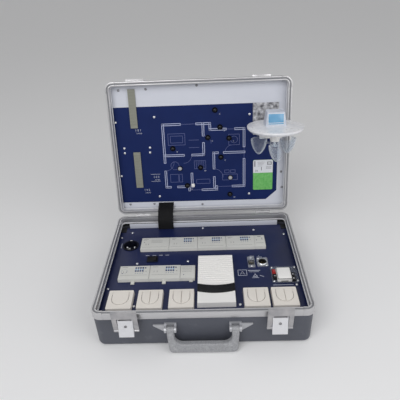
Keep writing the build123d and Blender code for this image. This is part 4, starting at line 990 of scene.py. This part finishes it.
def sockets():
    """Flange screws, liners, ring and contacts of the two data sockets."""
    bm = bmesh.new()
    screw = [(0, 0), (2.2, 0), (2.2, 0.6), (1.6, 1.2), (0, 1.3)]
    places = ((115.5, 18.5), (115.5, -11.5), (133, 14), (151, -10))
    turned_at(bm, screw, places, SOCKET_FACE, 18)
    piece("flange_screws", "base", bm, steel, ON_BASE)
    bm = bmesh.new()
    for side in range(4):
        part = bmesh.new()
        block(part, (-7.1, 5.9, 64), (7.1, 7.1, 76.2), 0.3)
        turn = Matrix.Rotation(math.pi / 2 * side, 4, "Z")
        join(bm, part, Matrix.Translation((*SQUARE_SOCKET, 0)) @ turn)
    pad(bm, SQUARE_SOCKET, (5.6, 4.6), 64, 65, 0.2)
    sleeve_ring = [
        (7.2, 64), (9.4, 64), (9.4, 76.2), (8.8, 76.6), (7.8, 76.6), (7.2, 76.0), (7.2, 64),
    ]
    turned(bm, sleeve_ring, (*ROUND_SOCKET, 0), 36)
    piece("socket_liners", "base", bm, black, ON_BASE)
    bm = bmesh.new()
    rim = [(9.5, 75.0), (10.6, 75.0), (10.6, 76.4), (10.2, 76.8), (9.5, 76.8), (9.5, 75.0)]
    turned(bm, rim, (*ROUND_SOCKET, 0), 36)
    piece("socket_ring", "base", bm, steel, ON_BASE)
    bm = bmesh.new()
    pin = [(0, 0), (0.8, 0), (0.8, 6.6), (0.5, 7.2), (0, 7.4)]
    turned_at(bm, pin, arc_points(*ROUND_SOCKET, 4.2, 20, 308, 4), 64, 12)
    for step in range(8):
        pad(bm, (112 + step, -1.4), (0.25, 2.4), 66, 66.6)
    piece("socket_contacts", "base", bm, brass, ON_BASE)


def demo():
    """The demonstration unit: clear base, white box with its seam, clamps and screws."""
    bm = bmesh.new()
    plate(bm, rounded(157, -70, 218, -17, 3), 73.05, DEMO_FACE)
    made = piece("demo_base", "base", bm, acrylic, ON_BASE)
    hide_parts("demo_unit")
    bm = bmesh.new()
    block(bm, (168, -69.6, DEMO_FACE), (200.5, -32, 84.5), 1.6, 3)
    block(bm, (169.2, -68.8, 84.3), (199.3, -33.2, 88.0), 2.2, 4)
    piece("demo_box", "base", bm, white_plastic, ON_BASE)
    bm = bmesh.new()
    block(bm, (168.6, -69.4, 84.1), (199.9, -32.6, 84.5))
    block(bm, (176, -70.3, 78), (192, -69.8, 81), 0.2)
    piece("demo_seam", "base", bm, print_grey, ON_BASE)
    clamp_top = 81
    bm = bmesh.new()
    block(bm, (159.6, -46, DEMO_FACE), (167.6, -31.5, clamp_top), 0.7)
    block(bm, (161, -43, 80.8), (166.4, -34.5, 82.4), 0.6)
    piece("clamp_red", "base", bm, red, ON_BASE)
    bm = bmesh.new()
    block(bm, (159.6, -61.5, DEMO_FACE), (167.6, -47, clamp_top), 0.7)
    block(bm, (201.2, -69, DEMO_FACE), (209, -56.5, clamp_top), 0.7)
    block(bm, (201.2, -55.5, DEMO_FACE), (209, -43, clamp_top), 0.7)
    piece("clamps_black", "base", bm, black, ON_BASE)
    bm = bmesh.new()
    small = [(0, 0), (1.7, 0), (1.7, 0.5), (1.1, 0.9), (0, 1.0)]
    large = [(0, 0), (2.4, 0), (2.4, 0.7), (1.6, 1.5), (0, 1.7)]
    turned_at(bm, small, ((163.6, -54), (205, -62.8), (205, -49.2)), clamp_top, 16)
    turned_at(bm, large, ((161, -21), (214, -21), (214, -66), (161, -66)), DEMO_FACE, 18)
    piece("demo_screws", "base", bm, steel, ON_BASE)


# Case details


def band(bm, middle, outer, inner, low, high):
    """A closed band round one half of the case: (half width, half depth, corner) outlines."""
    outlines = []
    for over, up, corner in (outer, inner):
        outlines.append(rounded(-over, middle - up, over, middle + up, corner))
    levels = ((0, low), (0, high), (1, high), (1, low))
    loops = [[bm.verts.new((x, y, z)) for x, y in outlines[side]] for side, z in levels]
    count = len(outlines[0])
    for first, second in zip(loops, loops[1:] + loops[:1]):
        for i in range(count):
            j = (i + 1) % count
            bm.faces.new((first[i], first[j], second[j], second[i]))


def painted_wall_shade():
    """Painted shade: a black band on both walls between the panel and the rim channel, and black
    pads on the panel's rear corners where the corner notches lie in shade.
    """
    outer, inner = (222.0, 167.0, 11.0), (221.6, 166.6, 10.6)
    bm = bmesh.new()
    band(bm, 0, outer, inner, PANEL + 0.1, 82.7)
    for x in (-213.75, 213.75):
        pad(bm, (x, 145.25), (6.75, 10.25), PANEL + 0.05, PANEL + 1.2, 0.4)
    piece("base_wall_painted_shade", "base", bm, shade_black, ON_BASE)
    bm = bmesh.new()
    band(bm, LID_MIDDLE, outer, inner, 0.1, 4.4)
    piece("lid_wall_painted_shade", "lid", bm, shade_black, ON_LID)


def rim_trim(name, outer, inner, base_levels, lid_levels, material):
    """The same band on the base's rim and on the lid's."""
    halves = (("base", 0, base_levels, ON_BASE), ("lid", LID_MIDDLE, lid_levels, ON_LID))
    for body, middle, levels, place in halves:
        bm = bmesh.new()
        band(bm, middle, outer, inner, *levels)
        piece(f"{body}_{name}", body, bm, material, place)


def seals():
    """Grey sealing strip in the groove of each rim."""
    outer, inner = (226.7, 171.7, 15.7), (223.5, 168.5, 12.5)
    base_levels, lid_levels = (97.62, 98.7), (19.32, 20.4)
    rim_trim("rim_seal", outer, inner, base_levels, lid_levels, seal)


def highlight_beads():
    """A bead along the inner edge of each rim channel, near white as a painted highlight of the
    rim's lit inner face.
    """
    outer, inner = (220.15, 165.15, 9.1), (218.8, 163.8, 7.8)
    base_levels, lid_levels = (82.9, 84.6), (4.5, 6.2)
    rim_trim("rim_highlight_bead", outer, inner, base_levels, lid_levels, pale_highlight_bead)


def rivets():
    """Rivets on the inner face of the rear bar."""
    bm = bmesh.new()
    head = [(0, 0), (2.6, 0), (2.4, 0.6), (1.5, 1.2), (0, 1.4)]
    for x in (-175, -153.5, 152, 176):
        part = bmesh.new()
        turned(part, head, (0, 0, 0), 18)
        face = Matrix.Translation((x, 167.1, 89)) @ Matrix.Rotation(math.pi / 2, 4, "X")
        join(bm, part, face)
    piece("frame_rivets", "base", bm, steel, ON_BASE)


# Cable sleeve: a flat woven band along the route of the CAD sleeve


def weave_material():
    """Black fabric with a fine weave that follows the band."""
    material, tree, shader = new_material("sleeve_weave")
    set_inputs(shader, {"Specular IOR Level": 0.2, "Roughness": 0.75})
    place = tree.nodes.new("ShaderNodeTexCoord")
    waves = []
    for direction in ("X", "Y"):
        wave = tree.nodes.new("ShaderNodeTexWave")
        wave.bands_direction = direction
        wave.inputs["Scale"].default_value = 8.0
        tree.links.new(place.outputs["UV"], wave.inputs["Vector"])
        waves.append(wave.outputs["Fac"])
    height = math_node(tree, "MULTIPLY", *waves)
    colour = colour_mix(tree, height, tone(9, 9, 11), tone(34, 34, 37))
    tree.links.new(colour, shader.inputs["Base Color"])
    relief(tree, shader, height, 0.5, 0.0004)
    return material


def sleeve_route():
    """Points along the middle of the sleeve, from the lid down to the base panel."""
    corners = [(205.0, 117.8), (182.0, 118.8), (163.0, 105.8), (149.5, 93.0), (149.5, 62.0)]
    guide = bpy.data.curves.new("sleeve_route", "CURVE")
    guide.dimensions = "3D"
    guide.resolution_u = 10
    spline = guide.splines.new("NURBS")
    spline.points.add(len(corners) - 1)
    for point, (y, z) in zip(spline.points, corners):
        point.co = (0, y, z, 1)
    spline.order_u = 3
    spline.use_endpoint_u = True
    holder = add_object("sleeve_route", guide)
    line = bpy.data.meshes.new_from_object(holder)
    points = [v.co.copy() for v in line.vertices]
    bpy.data.objects.remove(holder)
    bpy.data.meshes.remove(line)
    return points


def sleeve():
    """The flat band, its section a little rippled along the route."""
    middle_x = -100.5
    weave_size = 40
    section = [
        (-20.5, 0), (-20.0, 1.9), (-18.2, 2.5), (-9, 2.3), (0, 2.2), (9, 2.3), (18.2, 2.5),
        (20.0, 1.9), (20.5, 0), (20.0, -1.9), (18.2, -2.5), (0, -2.3), (-18.2, -2.5),
        (-20.0, -1.9),
    ]
    bm = bmesh.new()
    points = sleeve_route()
    rings = []
    flat = {}
    run = 0.0
    for place, point in enumerate(points):
        before = points[max(place - 1, 0)]
        after = points[min(place + 1, len(points) - 1)]
        run += (point - before).length
        along = (after - before).normalized()
        across = Vector((0, -along.z, along.y))
        ring = []
        for x, out in section:
            ripple = 0.25 * math.sin(place * 1.7 + x * 0.2)
            vert = bm.verts.new(point + Vector((middle_x + x, 0, 0)) + across * (out + ripple))
            flat[vert] = (x / weave_size, run / weave_size)
            ring.append(vert)
        rings.append(ring)
    edges = []
    for ring in rings:
        edges.append([bm.edges.new((a, b)) for a, b in zip(ring, ring[1:] + ring[:1])])
    for first, second in zip(edges, edges[1:]):
        bmesh.ops.bridge_loops(bm, edges=first + second)
    bmesh.ops.contextual_create(bm, geom=rings[0])
    bmesh.ops.contextual_create(bm, geom=rings[-1])
    weave = bm.loops.layers.uv.new("weave")
    for face in bm.faces:
        for loop in face.loops:
            loop[weave].uv = flat[loop.vert]
    made = piece("cable_sleeve_band", None, bm, weave_material(), ON_BASE, 50)
    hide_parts("cable_sleeve")
    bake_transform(made)


lid_field()
plan()
lid_labels()
lamps()
card()
heads = screw_heads("base_screw_heads", "base", BASE_SCREWS, PANEL, ON_BASE)
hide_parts("base_panel_screws")
heads = screw_heads("lid_screw_heads", "lid", LID_SCREWS, 0.1, ON_LID)
grey_on_white(heads)
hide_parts("lid_panel_screws")
station()
base_marks()
module_lines()
module_lights()
keypads()
rail_clips()
switch_gaps()
painted_wall_shade()
seals()
highlight_beads()
mains_contacts()
sockets()
demo()
rivets()
sleeve()

# Studio: pale floor, white surroundings, soft lamps


def floor():
    """A wide pale floor."""
    bm = bmesh.new()
    bmesh.ops.create_grid(bm, x_segments=1, y_segments=1, size=60.0)
    mesh = bpy.data.meshes.new("floor")
    bm.to_mesh(mesh)
    bm.free()
    material, _, shader = new_material("floor")
    set_inputs(shader, {"Base Color": (0.9, 0.9, 0.91, 1), "Roughness": 0.9})
    mesh.materials.append(material)
    add_object("floor", mesh)


def surroundings():
    """Plain grey to the camera, paler to what the lamps light, and patchy in reflections."""
    world = bpy.data.worlds.new("studio")
    bpy.context.scene.world = world
    world.use_nodes = True
    tree = world.node_tree
    background = tree.nodes["Background"]
    background.inputs["Color"].default_value = (1, 1, 1, 1)
    path = tree.nodes.new("ShaderNodeLightPath")
    seen = path.outputs["Is Camera Ray"]
    seen = math_node(tree, "MAXIMUM", seen, path.outputs["Is Transmission Ray"])
    place = tree.nodes.new("ShaderNodeTexCoord")
    patches = noise_node(tree, place.outputs["Generated"], 2.2, 2.0)
    dark_from, patch_gain, darkest = 0.32, 3.6, 0.2
    patches = math_node(tree, "SUBTRACT", patches, dark_from)
    patches = math_node(tree, "MULTIPLY", patches, patch_gain)
    patches = math_node(tree, "MAXIMUM", patches, darkest)
    glossy = math_node(tree, "MULTIPLY", path.outputs["Is Glossy Ray"], patches)
    seen_grey, lit_grey = 0.55, 0.42
    plain = math_node(tree, "MULTIPLY", seen, seen_grey)
    other = math_node(tree, "SUBTRACT", 1.0, path.outputs["Is Glossy Ray"])
    plain = math_node(tree, "ADD", plain, math_node(tree, "MULTIPLY", other, lit_grey))
    level = math_node(tree, "ADD", plain, glossy)
    tree.links.new(level, background.inputs["Strength"])


def lamp(name, place, aim, size, power):
    """A soft square lamp that points at a place."""
    light = bpy.data.lights.new(name, "AREA")
    light.size = size
    light.energy = power
    holder = add_object(name, light)
    holder.location = place
    direction = Vector(aim) - Vector(place)
    holder.rotation_euler = direction.to_track_quat("-Z", "Y").to_euler()


def camera():
    """The view that was fitted to the case's straight edges."""
    yaw, pitch, roll = -0.0357, 0.5630, -0.0483
    eye = (0.0273701, -0.7582313, 0.7349208)
    focal_pixels, picture_pixels = 414.274, 400
    level_run = math.cos(pitch)
    ahead = Vector((math.sin(yaw) * level_run, math.cos(yaw) * level_run, -math.sin(pitch)))
    side = Vector((math.cos(yaw), -math.sin(yaw), 0))
    above = side.cross(ahead)
    across = side * math.cos(roll) + above * math.sin(roll)
    upward = above * math.cos(roll) - side * math.sin(roll)
    data = bpy.data.cameras.new("camera")
    data.sensor_width = 36.0
    data.lens = focal_pixels / picture_pixels * data.sensor_width
    data.clip_start = 0.01
    holder = add_object("camera", data)
    turn = Matrix((across, upward, -ahead)).transposed().to_4x4()
    holder.matrix_world = Matrix.Translation(eye) @ turn
    bpy.context.scene.camera = holder


floor()
surroundings()
lamp("key", (-0.7, -1.3, 1.7), (0, 0, 0.12), 1.2, 16)
lamp("fill", (1.1, -0.9, 1.1), (0, 0, 0.15), 1.2, 7)
camera()
bpy.context.scene.view_settings.view_transform = "Standard"
